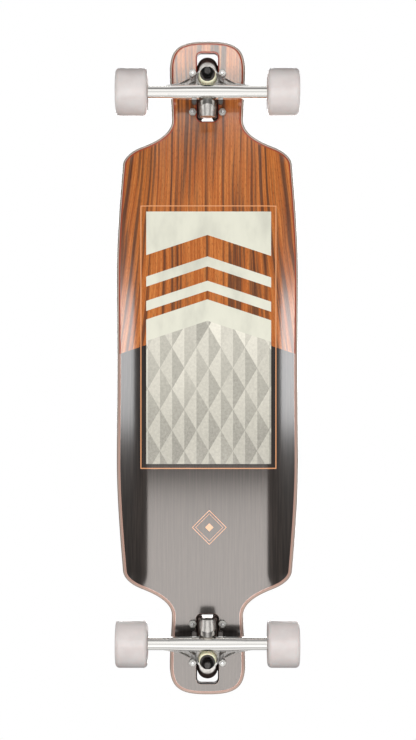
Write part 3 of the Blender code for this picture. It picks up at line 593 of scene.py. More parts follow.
def moved(bm, place):
    """The same bmesh, carried to a place."""
    bmesh.ops.transform(bm, matrix=place, verts=bm.verts[:])
    return bm


def shaped(name, base, join=(), cut=(), keep=(), melt=None):
    """Join, cut and overlap shapes, then melt them to one cast skin if a grain size is given."""
    guide = bpy.data.objects.new(name, base if isinstance(base, bpy.types.Mesh) else to_mesh(base, name))
    scene.collection.objects.link(guide)
    tools = []
    for operation, shapes in (("UNION", join), ("DIFFERENCE", cut), ("INTERSECT", keep)):
        for shape in shapes:
            tool = bpy.data.objects.new(name + "_tool", to_mesh(shape, name + "_tool"))
            scene.collection.objects.link(tool)
            tools.append(tool)
            step = guide.modifiers.new(operation, "BOOLEAN")
            step.operation, step.solver, step.object = operation, "EXACT", tool
    if melt:
        skin = guide.modifiers.new("skin", "REMESH")
        skin.mode, skin.voxel_size = "VOXEL", melt
        ease = guide.modifiers.new("ease", "SMOOTH")
        ease.factor, ease.iterations = 0.5, 4
    bpy.context.view_layer.update()
    graph = bpy.context.evaluated_depsgraph_get()
    mesh = bpy.data.meshes.new_from_object(guide.evaluated_get(graph))
    for item in [guide, *tools]:
        bpy.data.objects.remove(item)
    return mesh


LIT_SLOTS = {"maple": "deck", "grip": "deck", "wheel_urethane": "wheel", "bushing_urethane": "cushion"}


def add_piece(name, mesh, finishes, body, nodes, slot, sharp=35):
    """A finished object that rides a body in place of its solids."""
    mesh.name = name
    mesh.shade_smooth()
    mesh.set_sharp_from_angle(angle=math.radians(sharp))
    piece = bpy.data.objects.new(name, mesh)
    scene.collection.objects.link(piece)
    LIT_AS[LIT_SLOTS.get(slot, "metal")].objects.link(piece)
    for item in finishes:
        if item.name not in mesh.materials:
            mesh.materials.append(item)
    if body:
        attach(piece, body)
    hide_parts(*nodes)
    return piece


# %% Truck frames: where each truck stands, and how its kingpin and pivot lean
AXLE_Z = 32.5 * MM
RING_CENTRE = Vector((22.8 * MM, 0, 24 * MM))
KINGPIN_LEAN = math.radians(13)
STEER_ANGLE = math.radians(31.2)
PIVOT_X = -18.5 * MM
STEER_AXIS = Vector((math.cos(STEER_ANGLE), 0, math.sin(STEER_ANGLE)))
KINGPIN_AXIS = Vector((math.sin(KINGPIN_LEAN), 0, -math.cos(KINGPIN_LEAN)))
PIVOT_POINT = RING_CENTRE + STEER_AXIS * ((PIVOT_X - RING_CENTRE.x) / STEER_AXIS.x)


def along(direction, origin):
    """Stands a shape's own Z along a direction at an origin."""
    turn = Vector((0, 0, 1)).rotation_difference(direction)
    return shift(*origin) @ turn.to_matrix().to_4x4()


KINGPIN = along(KINGPIN_AXIS, RING_CENTRE)
PIVOT = along(STEER_AXIS, PIVOT_POINT)
TRUCKS = {
    "front": shift(WHEELBASE / 2, 0, AXLE_Z),
    "rear": shift(-WHEELBASE / 2, 0, AXLE_Z) @ Matrix.Rotation(math.pi, 4, "Z")}
print("pivot at", [round(value / MM, 2) for value in PIVOT_POINT], "mm from the axle")

# %% [markdown]
# ## Cutting and pressing the deck
# The order is the workshop's: round the outline's edge while the blank is flat, slice it, cut the
# windows for the trucks and drill the bolt holes, round the windows' rims, note each point's depth
# and only then press the rails up.

# %% Deck
BOLT_MIDDLE = 7.8 * MM
BOLT_PLACES = [
    (BOLT_MIDDLE + along_x * 27 * MM, across * 20.65 * MM) for along_x in (1, -1) for across in (1, -1)]
LOW, HIGH = UNDERSIDE_Z - AXLE_Z, DECK_TOP_Z - AXLE_Z
OVER = 5 * MM

bm = bmesh.new()
raise_plate(bm, outline_face(bm, UNDERSIDE_Z), DECK_THICKNESS)
rims = [edge for edge in bm.edges if abs(edge.verts[0].co.z - edge.verts[1].co.z) < MM / 10]
soften(bm, rims, EDGE_ROUND, 8)
slice_for_bending(bm)
cuts = []
for place in TRUCKS.values():
    window = block(CUTOUT[0], CUTOUT[1], -CUTOUT[2], CUTOUT[2], LOW - OVER, HIGH + OVER, CUTOUT_CORNER, 8)
    cuts.append(moved(window, place))
    for bolt_x, bolt_y in BOLT_PLACES:
        cuts.append(rod(2.9 * MM, LOW - OVER, HIGH + OVER, place @ shift(bolt_x, bolt_y, 0), 32))
blank = shaped("deck", bm, cut=cuts)
print("deck blank:", len(blank.polygons), "faces")


# %% Round the windows' rims, store the depths, press the rails
def in_window(point, grow=0.5 * MM):
    """True on the wall or rim of a truck window."""
    local = Vector((abs(point.x) - WHEELBASE / 2, point.y, 0))
    return CUTOUT[0] - grow < local.x < CUTOUT[1] + grow and abs(local.y) < CUTOUT[2] + grow


bm = bmesh.new()
bm.from_mesh(blank)
rims = [edge for edge in sharp_edges(bm, 60)
        if all(in_window(vert.co) and vert.co.z < UNDERSIDE_Z + MM for vert in edge.verts)]
soften(bm, rims, CUTOUT_RIM, 5)
depths = bm.verts.layers.float.new("depth")
for vert in bm.verts:
    vert[depths] = (vert.co.z - UNDERSIDE_Z) / DECK_THICKNESS
    vert.co.z += rail_rise(vert.co)
for face in bm.faces:
    height = (face.calc_center_median().z - UNDERSIDE_Z) / DECK_THICKNESS
    upright = abs(face.normal.z) < 0.05 and 0.2 < height < 0.99
    face.material_index = int(upright and in_window(face.calc_center_median()))
deck = add_piece("deck_veneered", to_mesh(bm, "deck"), [deck_finish, sawn_and_shaded], "deck", ["deck"], "maple")
even = deck.modifiers.new("even shading", "WEIGHTED_NORMAL")
even.keep_sharp = True
print("deck:", len(deck.data.polygons), "faces,", len(rims), "rim edges rounded")

# %% [markdown]
# ## Grip tape
# The standing side is covered with a sheet of grit, cut a little inside the edge and open round
# the trucks. It follows the same outline and the same press, one step higher. The grit itself is
# too fine to model: a dense noise lifts the surface, and a few grains are painted lighter as glints.

# %% Grip tape
grit, tree, shader = finish("black_grit", (30, 30, 31), 0.92)
grains = noise(tree, 1400, 2.0, 0.7)
worn = noise(tree, 7, 4.0, 0.6, (1, 2, 1))
base = mix(ramp(worn, 0.3, 0.75), (24, 24, 25), (42, 42, 43))
# Painted glints: a few grains are coloured light grey.
feed(shader, "Base Color", mix(ramp(grains, 0.63, 0.72), base, (108, 108, 112)))
emboss(shader, grains, 0.7, 0.0004)

GRIP_THICKNESS, GRIP_GAP, GRIP_INSET = 0.9 * MM, 0.45 * MM, 5.5 * MM
GRIP_WINDOW, GRIP_CORNER = (-34.3 * MM, 68.5 * MM, 29.5 * MM), 8 * MM
grip_low = DECK_TOP_Z + GRIP_GAP
bm = bmesh.new()
sheet = outline_face(bm, grip_low)
margin = bmesh.ops.inset_region(
    bm, faces=[sheet], thickness=GRIP_INSET, use_boundary=True, use_even_offset=True)["faces"]
bmesh.ops.delete(bm, geom=margin, context="FACES")
raise_plate(bm, bm.faces[:][0], GRIP_THICKNESS)
slice_for_bending(bm)
local_low = grip_low - AXLE_Z
windows = []
for place in TRUCKS.values():
    window = block(GRIP_WINDOW[0], GRIP_WINDOW[1], -GRIP_WINDOW[2], GRIP_WINDOW[2],
                   local_low - OVER, local_low + OVER, GRIP_CORNER, 8)
    windows.append(moved(window, place))
bm_grip = bmesh.new()
bm_grip.from_mesh(shaped("grip", bm, cut=windows))
for vert in bm_grip.verts:
    vert.co.z += rail_rise(vert.co)
grip = add_piece("grip_sheet", to_mesh(bm_grip, "grip"), [grit], "deck", ["grip_tape"], "grip")
print("grip tape:", len(grip.data.polygons), "faces")

# %% [markdown]
# ## Finishes of the small parts
# Bolts, nuts, washers and kingpins are steel: bright, zinc plated, blued or blackened. Metal has
# no colour pattern to speak of. What makes it real is that its roughness changes where a cloth or a
# spanner has gone over it, so one recipe does for them all. The wheels, bushings and seals are cast
# urethane, which is cloudy inside and lets light soak in. The two castings are large enough to get
# finishes of their own, beside their shapes.

# %% Metals
def metal(name, colour, roughness, spread, scale, lift):
    """Metal whose roughness and surface vary with a fine noise."""
    made, tree, shader = finish(name, colour, roughness, 1.0)
    marks = noise(tree, scale, 4.0, 0.6)
    dull = tuple(value * 0.82 for value in colour)
    feed(shader, "Roughness", marks * spread + (roughness - spread / 2))
    feed(shader, "Base Color", mix(ramp(marks, 0.3, 0.8), colour, dull))
    emboss(shader, marks, lift)
    return made


bright = metal("bright_steel", (242, 242, 240), 0.16, 0.12, 500, 0.05)
zinc = metal("zinc_plate", (228, 227, 222), 0.34, 0.2, 600, 0.08)
dark_steel = metal("dark_steel", (96, 94, 92), 0.34, 0.2, 400, 0.08)
black_steel = metal("black_steel", (40, 39, 38), 0.36, 0.2, 400, 0.1)
blued = metal("blued_steel", (96, 92, 90), 0.3, 0.2, 300, 0.1)
print("metals:", bright.name, zinc.name, dark_steel.name, black_steel.name, blued.name)


# %% Urethanes
def urethane(name, colour, shade, roughness, glow):
    """Cast urethane: faint clouds in the colour, light that soaks in, and a fine moulded skin."""
    made, tree, shader = finish(name, colour, roughness)
    clouds = noise(tree, 35, 3.0, 0.55)
    feed(shader, "Base Color", mix(ramp(clouds, 0.35, 0.75), colour, shade))
    shader.inputs["Subsurface Weight"].default_value = glow
    shader.inputs["Subsurface Radius"].default_value = (1.0, 0.7, 0.65)
    shader.inputs["Subsurface Scale"].default_value = 0.004
    emboss(shader, noise(tree, 900, 2.0, 0.5), 0.06, 0.0001)
    return made


wheel_rose = urethane("rose_white_urethane", (238, 230, 227), (228, 218, 215), 0.36, 0.25)
wheel_core = urethane("wheel_core", (214, 204, 204), (202, 190, 190), 0.3, 0.1)
cushion_cream = urethane("cream_urethane", (244, 240, 212), (236, 230, 196), 0.42, 0.25)
cup_black = urethane("black_urethane", (34, 33, 32), (24, 24, 24), 0.5, 0.0)
seal_black = urethane("seal_rubber", (28, 28, 30), (20, 20, 22), 0.55, 0.0)
print("urethanes made")

# %% [markdown]
# ## The hanger
# The hanger is one casting: a tube round the axle, a yoke that grows from it to a ring round the
# kingpin, and a nose that sits in the pivot cup. Foundries fillet every inner corner. Modelling
# those fillets by hand is slow, so the plain shapes are joined and then melted together: a voxel
# skin closes over them and a few smoothing passes give the soft corners of a real mould. The axle
# and kingpin bores are cut after that, as they are machined crisp on the real one.

# %% Tube, ring and nose
HANGER_HALF = 90 * MM
TUBE_END, TUBE_MIDDLE = 8.7 * MM, 10.1 * MM
RING_HALF, RING_RADIUS, RING_HOLE = 3.5 * MM, 16.3 * MM, 7.5 * MM
ACROSS = Matrix.Rotation(-math.pi / 2, 4, "X")
AXLE_BORE = 4.2 * MM
GAP = 0.3 * MM


def tube_radius(share):
    """Radius of the tube at a share of its half-length; it swells towards its middle."""
    return TUBE_END + (TUBE_MIDDLE - TUBE_END) * (1 - min(1.0, abs(share) / 0.6) ** 2)


def tube():
    """Axle tube, turned from its profile."""
    profile = [(0, HANGER_HALF), (TUBE_END - 0.8 * MM, HANGER_HALF), (TUBE_END, HANGER_HALF - 0.8 * MM)]
    for step in range(-18, 19):
        profile.append((tube_radius(step / 20), -HANGER_HALF * step / 20))
    profile += [(TUBE_END, 0.8 * MM - HANGER_HALF), (TUBE_END - 0.8 * MM, -HANGER_HALF), (0, -HANGER_HALF)]
    return moved(lathe(profile, 64), ACROSS)


def rounded_end(radius, first, last, turn):
    """Profile points on a ball's lower half, at angles under its middle."""
    angles = [math.radians(angle) for angle in range(first, last, turn)]
    return [(radius * math.cos(angle), -radius * math.sin(angle)) for angle in angles]


NOSE_RADIUS = 6.1 * MM
nose_profile = [(0, 19 * MM), (8.2 * MM, 19 * MM), (NOSE_RADIUS, 7 * MM), (NOSE_RADIUS, 0)]
nose_profile += rounded_end(NOSE_RADIUS, 15, 90, 15) + [(0, -NOSE_RADIUS)]

# %% Yoke: slices across the tube, bridged, then mirrored
YOKE_SLOPE, YOKE_START = 1.3, 7.9 * MM
YOKE_FLARE = (
    (5.5, 82), (9.5, 60), (12, 50), (14.7, 38), (17.4, 33.5), (20.7, 29.4), (24.1, 22.6),
    (27.4, 17.9), (31, 13.8), (31, 0))


def yoke():
    """Web between the tube and the ring. Its edge follows the flare seen from below."""
    bm = bmesh.new()
    ring_half = (RING_HALF - GAP) / math.cos(KINGPIN_LEAN)
    loops = []
    for out, aside in YOKE_FLARE:
        out, aside = out * MM, aside * MM
        crown = RING_CENTRE.z - ring_half + (out - RING_CENTRE.x) * math.tan(KINGPIN_LEAN)
        height = min(crown, YOKE_SLOPE * (out - YOKE_START))
        corners = [
            (3 * MM, aside, -3 * MM), (out, aside, height), (out - MM, aside, height + 2 * ring_half),
            (-MM, aside, TUBE_END - MM)]
        verts = [bm.verts.new(corner) for corner in corners]
        loops.append([bm.edges.new((verts[i - 1], verts[i])) for i in range(4)])
    for first, second in zip(loops, loops[1:]):
        bmesh.ops.bridge_loops(bm, edges=first + second)
    bmesh.ops.edgeloop_fill(bm, edges=loops[0])
    bmesh.ops.mirror(bm, geom=bm.verts[:] + bm.edges[:] + bm.faces[:], axis="Y", merge_dist=MM / 50)
    return bm


# %% Pockets that lighten the yoke
POCKETS = (
    (13.2, 10.5, ((23.6, 19.8), (20.3, 24.5), (15.5, 30), (12.6, 37.5), (13.8, 37.5), (17.8, 30.5),
                  (21.8, 25.5), (24.8, 21.4))),
    (14, 11.5, ((18.5, 17.5), (12.6, 25.5), (11, 23.5), (11.6, 19), (14.6, 16.8))))
POCKET_OPENING = -15 * MM


def pocket(side, start_x, start_z, outline):
    """Recess from the road side, with a floor that rises outboard from a start in mm."""
    bm = bmesh.new()
    floor = bm.faces.new([
        bm.verts.new((out * MM, side * aside * MM, (start_z + (out - start_x) * YOKE_SLOPE) * MM))
        for out, aside in outline])
    lowered = bmesh.ops.extrude_face_region(bm, geom=[floor])["geom"]
    for item in lowered:
        if isinstance(item, bmesh.types.BMVert):
            item.co.z = POCKET_OPENING
    return bm


# %% Join, melt and drill the hanger
LUG_Y, LUG_HALF = 18 * MM, 3.3 * MM
joins = [
    yoke(), rod(RING_RADIUS, -RING_HALF, RING_HALF, KINGPIN, 64), moved(lathe(nose_profile, 48), PIVOT)]
cuts = [
    rod(13.9 * MM, RING_HALF, 40 * MM, KINGPIN, 64),
    rod(13.4 * MM, -8 * MM, 17 * MM, shift(23.8 * MM, 0, 0), 64),
    rod(17.3 * MM, -30 * MM, -RING_HALF - GAP / 3, KINGPIN, 64)]
for side in (1, -1):
    middle = side * LUG_Y
    joins.append(block(-17 * MM, 2 * MM, middle - LUG_HALF, middle + LUG_HALF, -3.5 * MM, 5 * MM, 3 * MM))
    cuts += [pocket(side, *row) for row in POCKETS]
cast_hanger = shaped("hanger", tube(), joins, cuts, melt=0.5 * MM)

# %% Turn the tube true, and drill
for vert in cast_hanger.vertices:
    reach = math.hypot(vert.co.x, vert.co.z)
    wanted = tube_radius(vert.co.y / HANGER_HALF)
    near = max(0, 1 - abs(reach - wanted) / (0.6 * MM))
    if abs(vert.co.y) < HANGER_HALF - 1.5 * MM:
        factor = 1 + (wanted / reach - 1) * min(1, 2 * near)
        vert.co.x, vert.co.z = vert.co.x * factor, vert.co.z * factor
axle_drill = rod(AXLE_BORE, -HANGER_HALF - MM, HANGER_HALF + MM, ACROSS)
hanger_mesh = shaped("hanger", cast_hanger, cut=[rod(RING_HOLE, -20 * MM, 20 * MM, KINGPIN), axle_drill])
print("hanger:", len(hanger_mesh.polygons), "faces")

# %% Hanger finish: a polished tube, and a yoke left as it came from the tumbler
hanger_metal, tree, shader = finish("hanger_aluminium", (236, 233, 229), 0.2, 1.0)
x, y, z = axes(tree)
out, up = abs(x) - WHEELBASE / 2, z - AXLE_Z
tumbled = ramp((out * out + up * up).step("SQRT"), 10.3 * MM, 11.3 * MM)
brushed = noise(tree, 300, 3.0, 0.6, (1, 0.08, 1))
mottled = noise(tree, 520, 5.0, 0.7)
rough = {0: tumbled, 2: 0.05 + brushed * 0.07, 3: 0.28 + mottled * 0.2}
feed(shader, "Roughness", add(tree, "Mix", rough, data_type="FLOAT"))
yoke_colour = mix(ramp(mottled, 0.35, 0.68), (226, 222, 218), (158, 155, 152))
# Darker inboard of the tube, on both sides more than 13.5 mm from the middle line.
darker_inboard = ramp(out * -1, 6 * MM, 8.5 * MM) * ramp(abs(y), 11 * MM, 13.5 * MM)
yoke_colour = mix(darker_inboard, yoke_colour, (98, 94, 91))
# Painted highlight: beyond 28 to 32 mm out from the axle, the ring's outboard rim is made nearly white.
yoke_colour = mix(ramp(out, 28 * MM, 32 * MM), yoke_colour, (252, 250, 246))
feed(shader, "Base Color", mix(tumbled, (240, 238, 234), yoke_colour))
emboss(shader, mottled * tumbled, 0.35, 0.0003)


# %% Put a truck piece on both trucks
def on_trucks(name, mesh, finishes, rides_hanger, slot, sharp=35):
    """One copy of a truck's piece for each truck, in place of the solid of that name."""
    made = []
    for truck, place in TRUCKS.items():
        copy = mesh.copy()
        copy.transform(place)
        body = truck + "_hanger" if rides_hanger else "deck"
        node = truck + "_" + name
        made.append(add_piece(node + "_fine", copy, finishes, body, [node], slot, sharp))
    return made


on_trucks("hanger", hanger_mesh, [hanger_metal], True, "polished_aluminium")

# %% [markdown]
# ## The baseplate
# This casting drops through the deck from above: a flange on the standing side, a body in the
# window, a slanted boss that the boardside bushing sits on, and a tower that holds the pivot cup.
# It is made like the hanger, joined, melted, then drilled for the kingpin, the pivot cup and the
# four bolts.

# %% Boss and tower as skins stretched over circles
FLANGE_LOW, FLANGE_HIGH = HIGH + GAP, HIGH + GAP + 5.5 * MM
SEAT = -21.0 * MM
BOSS_RADIUS, BOSS_TIP_X, BOSS_FACE_X = 14.2 * MM, 45.2 * MM, 39.4 * MM
BODY_IN, TOWER_OUT, TOWER_HALF, TOWER_CORNER = -27 * MM, -9.5 * MM, 11.7 * MM, 7 * MM
TOWER_BACK = shift(-34.3 * MM, 0, -4.5 * MM) @ Matrix.Rotation(math.pi / 2, 4, "Y")


def stretched(*shapes):
    """Closed skin over several flat shapes, each a bmesh."""
    bm = bmesh.new()
    for shape in shapes:
        for vert in shape.verts:
            bm.verts.new(vert.co)
        shape.free()
    skin = bmesh.ops.convex_hull(bm, input=bm.verts[:])
    loose = [item for item in skin["geom_interior"] if isinstance(item, bmesh.types.BMVert)]
    bmesh.ops.delete(bm, geom=loose, context="VERTS")
    return bm


def disc(radius, height, place):
    """A flat circle across its own axis."""
    bm = bmesh.new()
    bmesh.ops.create_circle(bm, segments=64, radius=radius, matrix=place @ shift(0, 0, height))
    return bm


face_reach = (BOSS_FACE_X - RING_CENTRE.x) / math.cos(KINGPIN_LEAN) - SEAT * math.tan(KINGPIN_LEAN)
tip = shift(BOSS_TIP_X, 0, 0)
boss = stretched(
    disc(BOSS_RADIUS, SEAT, KINGPIN), disc(12 * MM, SEAT, KINGPIN @ shift(-face_reach, 0, 0)),
    disc(BOSS_RADIUS, FLANGE_HIGH, tip), disc(BOSS_RADIUS, LOW + 9.5 * MM, tip))
tower = stretched(
    block(BODY_IN, TOWER_OUT, -TOWER_HALF, TOWER_HALF, LOW, LOW + MM, TOWER_CORNER),
    disc(TOWER_HALF, 3.3 * MM, PIVOT), disc(TOWER_HALF, -6 * MM, PIVOT), disc(10.5 * MM, 0, TOWER_BACK))

# %% Baseplate finish: bare where it is handled, with painted shade where the casting sits in the window
base_metal, tree, shader = finish("baseplate_aluminium", (206, 202, 198), 0.3, 1.0)
up = axes(tree)[2]
# Painted shade: between the deck's underside and its top, inside the window, the casting is coloured dark
# and made rougher.
painted_window_shade = ramp(up, UNDERSIDE_Z + 0.5 * MM, UNDERSIDE_Z + 4 * MM) * (up < DECK_TOP_Z + 1.2 * MM)
sand = noise(tree, 420, 4.0, 0.6)
bare = mix(ramp(sand, 0.3, 0.8), (234, 230, 224), (200, 196, 191))
feed(shader, "Base Color", mix(painted_window_shade, bare, (124, 108, 102)))
feed(shader, "Roughness", 0.2 + sand * 0.2 + painted_window_shade * 0.15)
emboss(shader, sand, 0.12)

# %% Join, melt and drill the baseplate
FLANGE_LONG, FLANGE_WIDE, SLOT_HALF = 40.6 * MM, 28 * MM, 7.8 * MM
PIN_BORE = 5.05 * MM
HEAD_SEAT, HEAD_ROOM = -35.2 * MM, -53 * MM

flange = block(BOLT_MIDDLE - FLANGE_LONG, BOLT_MIDDLE + FLANGE_LONG, -FLANGE_WIDE, FLANGE_WIDE,
               FLANGE_LOW, FLANGE_HIGH, 8 * MM)
joins = [
    block(BODY_IN, BOSS_FACE_X, -14 * MM, 14 * MM, LOW + 5 * MM, FLANGE_HIGH - MM, 3 * MM), boss, tower,
    block(BODY_IN, TOWER_OUT, -TOWER_HALF, TOWER_HALF, LOW - MM, FLANGE_HIGH - MM, TOWER_CORNER)]
slot = block(-50 * MM, BODY_IN - GAP, -SLOT_HALF, SLOT_HALF, FLANGE_LOW - MM, FLANGE_HIGH + MM, 1.5 * MM)
cast_base = shaped("baseplate", flange, joins, [slot], melt=0.6 * MM)
kingpin_drill = lathe([
    (0, 21 * MM), (PIN_BORE, 21 * MM), (PIN_BORE, HEAD_SEAT + GAP), (8.2 * MM, HEAD_SEAT + GAP),
    (8.2 * MM, HEAD_ROOM), (0, HEAD_ROOM)])
drills = [moved(kingpin_drill, KINGPIN), rod(8.35 * MM, -8.9 * MM, 20 * MM, PIVOT)]
for bolt_x, bolt_y in BOLT_PLACES:
    sink = lathe([
        (0, FLANGE_LOW - MM), (2.65 * MM, FLANGE_LOW - MM), (2.65 * MM, FLANGE_HIGH - 3.1 * MM),
        (4.9 * MM, FLANGE_HIGH - 0.25 * MM), (4.9 * MM, FLANGE_HIGH + 2 * MM),
        (0, FLANGE_HIGH + 2 * MM)], 32)
    drills.append(moved(sink, shift(bolt_x, bolt_y, 0)))
base_mesh = shaped("baseplate", cast_base, cut=drills)
on_trucks("baseplate", base_mesh, [base_metal], False, "cast_aluminium")
print("baseplate:", len(base_mesh.polygons), "faces")

# %% [markdown]
# ## Kingpin, bushings and washers
# The kingpin is a bolt with its head in the flange. On it sit a washer, a bushing, the hanger's
# ring, a second bushing, a second washer and a nut. They are all turned parts, so a spun profile
# is the natural way, with its corners rounded by a bevel. The bushings are soft: one end stays
# with the deck, the other goes with the hanger. Here each is left where it stands.

# %% Turned parts
def turned(profile, amount, segments=48):
    """Spin a closed profile and round its corners."""
    bm = lathe(profile, segments, True)
    soften(bm, sharp_edges(bm), amount)
    return bm


def thread(radius, low, high, pitch, cut):
    """Profile points of a thread, as rings, from high to low."""
    points = []
    turns = int((high - low) / pitch)
    for turn in range(turns):
        top = high - turn * pitch
        points += [(radius, top), (radius - cut, top - pitch / 2)]
    return points + [(radius, high - turns * pitch)]


ROAD_END, BOARD_END = 15.8 * MM, -18.8 * MM
CUP = 1.6 * MM
NUT_LOW, NUT_HIGH = ROAD_END + 2 * GAP + CUP, ROAD_END + 2 * GAP + CUP + 9 * MM
pin_end = NUT_HIGH + GAP + 1.5 * MM
profile = [(0, pin_end), (3.9 * MM, pin_end)]
profile += thread(4.7 * MM, NUT_LOW, pin_end - 0.8 * MM, 1.2 * MM, 0.45 * MM)
profile += [(4.7 * MM, HEAD_SEAT), (4.7 * MM, HEAD_SEAT - 0.2 * MM), (0, HEAD_SEAT - 0.2 * MM)]
head = rod(7.5 * MM, HEAD_SEAT - 5.6 * MM, HEAD_SEAT, segments=6)
soften(head, sharp_edges(head), 0.5 * MM)
pin_mesh = shaped("kingpin", lathe(profile, 40), [head])
pin_mesh.transform(KINGPIN)
on_trucks("kingpin", pin_mesh, [dark_steel], False, "dark_steel")
print("kingpin:", len(pin_mesh.polygons), "faces")


# %% Washers
def cup_washer(radius, place):
    """Dished washer; its rim reaches down past the bushing's edge."""
    half = CUP / 2
    bm = turned([
        (PIN_BORE, half), (radius - MM, half), (radius, half - 0.5 * MM), (radius, -half),
        (radius - 0.7 * MM, -half), (radius - 1.2 * MM, -half + 0.5 * MM), (PIN_BORE, -half + 0.5 * MM)],
        0.12 * MM)
    return to_mesh(moved(bm, place), "washer")


road_cup = KINGPIN @ shift(0, 0, ROAD_END + GAP + CUP / 2)
board_cup = KINGPIN @ shift(0, 0, BOARD_END - GAP - CUP / 2) @ Matrix.Rotation(math.pi, 4, "X")
on_trucks("roadside_washer", cup_washer(10.4 * MM, road_cup), [blued], False, "black_steel")
on_trucks("boardside_washer", cup_washer(14.4 * MM, board_cup), [bright], False, "bright_steel")
print("washers made")


# %% Bushings, left where they stand
def bushing(low, high, foot, top):
    """Barrel with a slight belly."""
    middle = (low + high) / 2
    belly = max(foot, top)
    bm = turned([
        (PIN_BORE, high), (top - 0.9 * MM, high), (top, high - 0.9 * MM),
        ((top + belly) / 2, (high + middle) / 2), ((foot + belly) / 2, (low + middle) / 2),
        (foot, low + 0.9 * MM), (foot - 0.9 * MM, low), (PIN_BORE, low)], 0.4 * MM, 64)
    return to_mesh(moved(bm, KINGPIN), "bushing")


cushions = (
    ("boardside_bushing", BOARD_END, -RING_HALF - GAP, 14.3 * MM, 12.7 * MM, BOARD_END, -RING_HALF - GAP),
    ("roadside_bushing", RING_HALF + GAP, ROAD_END, 12.4 * MM, 11.0 * MM, ROAD_END, RING_HALF + GAP))
for name, near, far, foot, top, on_deck, on_ring in cushions:
    shape = bushing(near, far, foot, top)
    for truck, place in TRUCKS.items():
        copy = shape.copy()
        copy.transform(place)
        piece = add_piece(truck + "_" + name + "_fine", copy, [cushion_cream], None, [truck + "_" + name],
                          "bushing_urethane", 50)
        ends = [place @ KINGPIN @ Vector((0, 0, height)) for height in (on_deck, on_ring)]
        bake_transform(piece)
print("bushings:", 2 * len(cushions))

# %% Pivot cups
CUP_BORE, CUP_RADIUS, CUP_LIP, CUP_FLOOR = 6.45 * MM, 8 * MM, 4.5 * MM, -8.6 * MM
cup_profile = [(CUP_BORE, CUP_LIP), (CUP_RADIUS, CUP_LIP), (CUP_RADIUS, CUP_FLOOR), (0, CUP_FLOOR)]
cup_profile += [(0, -CUP_BORE)] + rounded_end(CUP_BORE, 75, 0, -15) + [(CUP_BORE, 0)]
cup_mesh = to_mesh(moved(lathe(cup_profile, 48, True), PIVOT), "pivot_cup")
on_trucks("pivot_cup", cup_mesh, [cup_black], False, "cup_urethane")


# %% [markdown]
# ## Nuts and bolts
# A nut is a hexagon whose corners were turned off on a lathe, which leaves curved bevels on the
# six flats. The same two steps make it here: a six-sided cylinder, kept only where it overlaps a
# spun blank. Lock nuts carry a round collar with a soft insert.

# %% Lock nut
def lock_nut(corners, low, high, bore, collar_low):
    """Hexagon with turned corners and a collar at one end."""
    flat = corners / 2 * math.cos(math.pi / 6)
    chamfer, wide = flat * 0.98, corners / 2 + MM / 20
    drop = (corners / 2 - chamfer) * 0.6
    hex_high = high - (high - low) * 0.24
    blank = [
        (bore, high), (flat * 0.78, high), (flat * 0.84, high - 0.3 * MM), (flat * 0.86, hex_high),
        (chamfer, hex_high), (wide, hex_high - drop), (wide, low + drop), (chamfer, low), (bore, low)]
    if collar_low:
        blank = [(radius, low + high - height) for radius, height in reversed(blank)]
    return shaped("nut", rod(corners / 2, low, high, segments=6), keep=[lathe(blank, 48, True)])


king_nut = lock_nut(16.4 * MM, NUT_LOW, NUT_HIGH, PIN_BORE, False)
king_nut.transform(KINGPIN)
on_trucks("kingpin_nut", king_nut, [black_steel], False, "black_steel", 25)
print("kingpin nut:", len(king_nut.polygons), "faces")

# %% Mounting bolts
BOLT_RADIUS, HEAD_RADIUS, SOCKET_DEEP = 2.35 * MM, 4.6 * MM, 1.8 * MM
head_top = FLANGE_HIGH - 0.2 * MM
nut_high = LOW - GAP
nut_low = nut_high - 5.8 * MM
bolt_end = nut_low - 1.6 * MM
profile = [
    (0, head_top), (HEAD_RADIUS - 0.25 * MM, head_top), (HEAD_RADIUS, head_top - 0.25 * MM),
    (BOLT_RADIUS, head_top - 2.6 * MM), (BOLT_RADIUS, nut_high + 3 * MM)]
profile += thread(BOLT_RADIUS, bolt_end + 0.3 * MM, nut_high + 2.9 * MM, 0.7 * MM, 0.25 * MM)
profile += [(1.9 * MM, bolt_end), (0, bolt_end)]
socket = rod(1.85 * MM, head_top - SOCKET_DEEP, head_top + SOCKET_DEEP, segments=6)
shank_mesh = shaped("bolt", lathe(profile, 32), cut=[socket])
small_nut = lock_nut(11 * MM, nut_low, nut_high, 2.45 * MM, True)
bm = bmesh.new()
bm.from_mesh(small_nut)
for face in bm.faces:
    centre = face.calc_center_median()
    face.material_index = 1 if centre.z < nut_low + 0.5 * MM and centre.xy.length < 3.0 * MM else 0
bm.from_mesh(shank_mesh)
for face in bm.faces:
    face.material_index = 2 if face.calc_center_median().z < nut_low - 0.1 * MM else face.material_index
bolt_mesh = to_mesh(bm, "bolt")
for number, (bolt_x, bolt_y) in enumerate(BOLT_PLACES, 1):
    copy = bolt_mesh.copy()
    copy.transform(shift(bolt_x, bolt_y, 0))
    finishes = [zinc, cup_black, bright]
    for piece in on_trucks("bolt_" + str(number), copy, finishes, False, "bright_steel", 25):
        LIT_AS["bolt"].objects.link(piece)
print("bolts:", 2 * len(BOLT_PLACES), "of", len(bolt_mesh.polygons), "faces")

# %% Axles
AXLE_HALF, AXLE_RADIUS = 124.4 * MM, 3.85 * MM
end_thread = thread(AXLE_RADIUS, 112 * MM, AXLE_HALF - 0.6 * MM, 1.0 * MM, 0.35 * MM)
axle_profile = [(0, AXLE_HALF), (3.2 * MM, AXLE_HALF)] + end_thread
axle_profile += [(radius, -height) for radius, height in reversed(axle_profile)]
axle_mesh = to_mesh(moved(lathe(axle_profile, 40), ACROSS), "axle")
on_trucks("axle", axle_mesh, [dark_steel], True, "dark_steel")
print("axle:", len(axle_mesh.polygons), "faces")

# %% [markdown]
# ## Wheels and bearings
# The wheels are poured urethane round a stiffer core, with big rounded lips that let the board
# slide. The tread's lips get a wide bevel, the core a step, and the bearings sit in it with their
# dark seals. Everything is turned once, lying on its own axis, and then stood at each axle end.

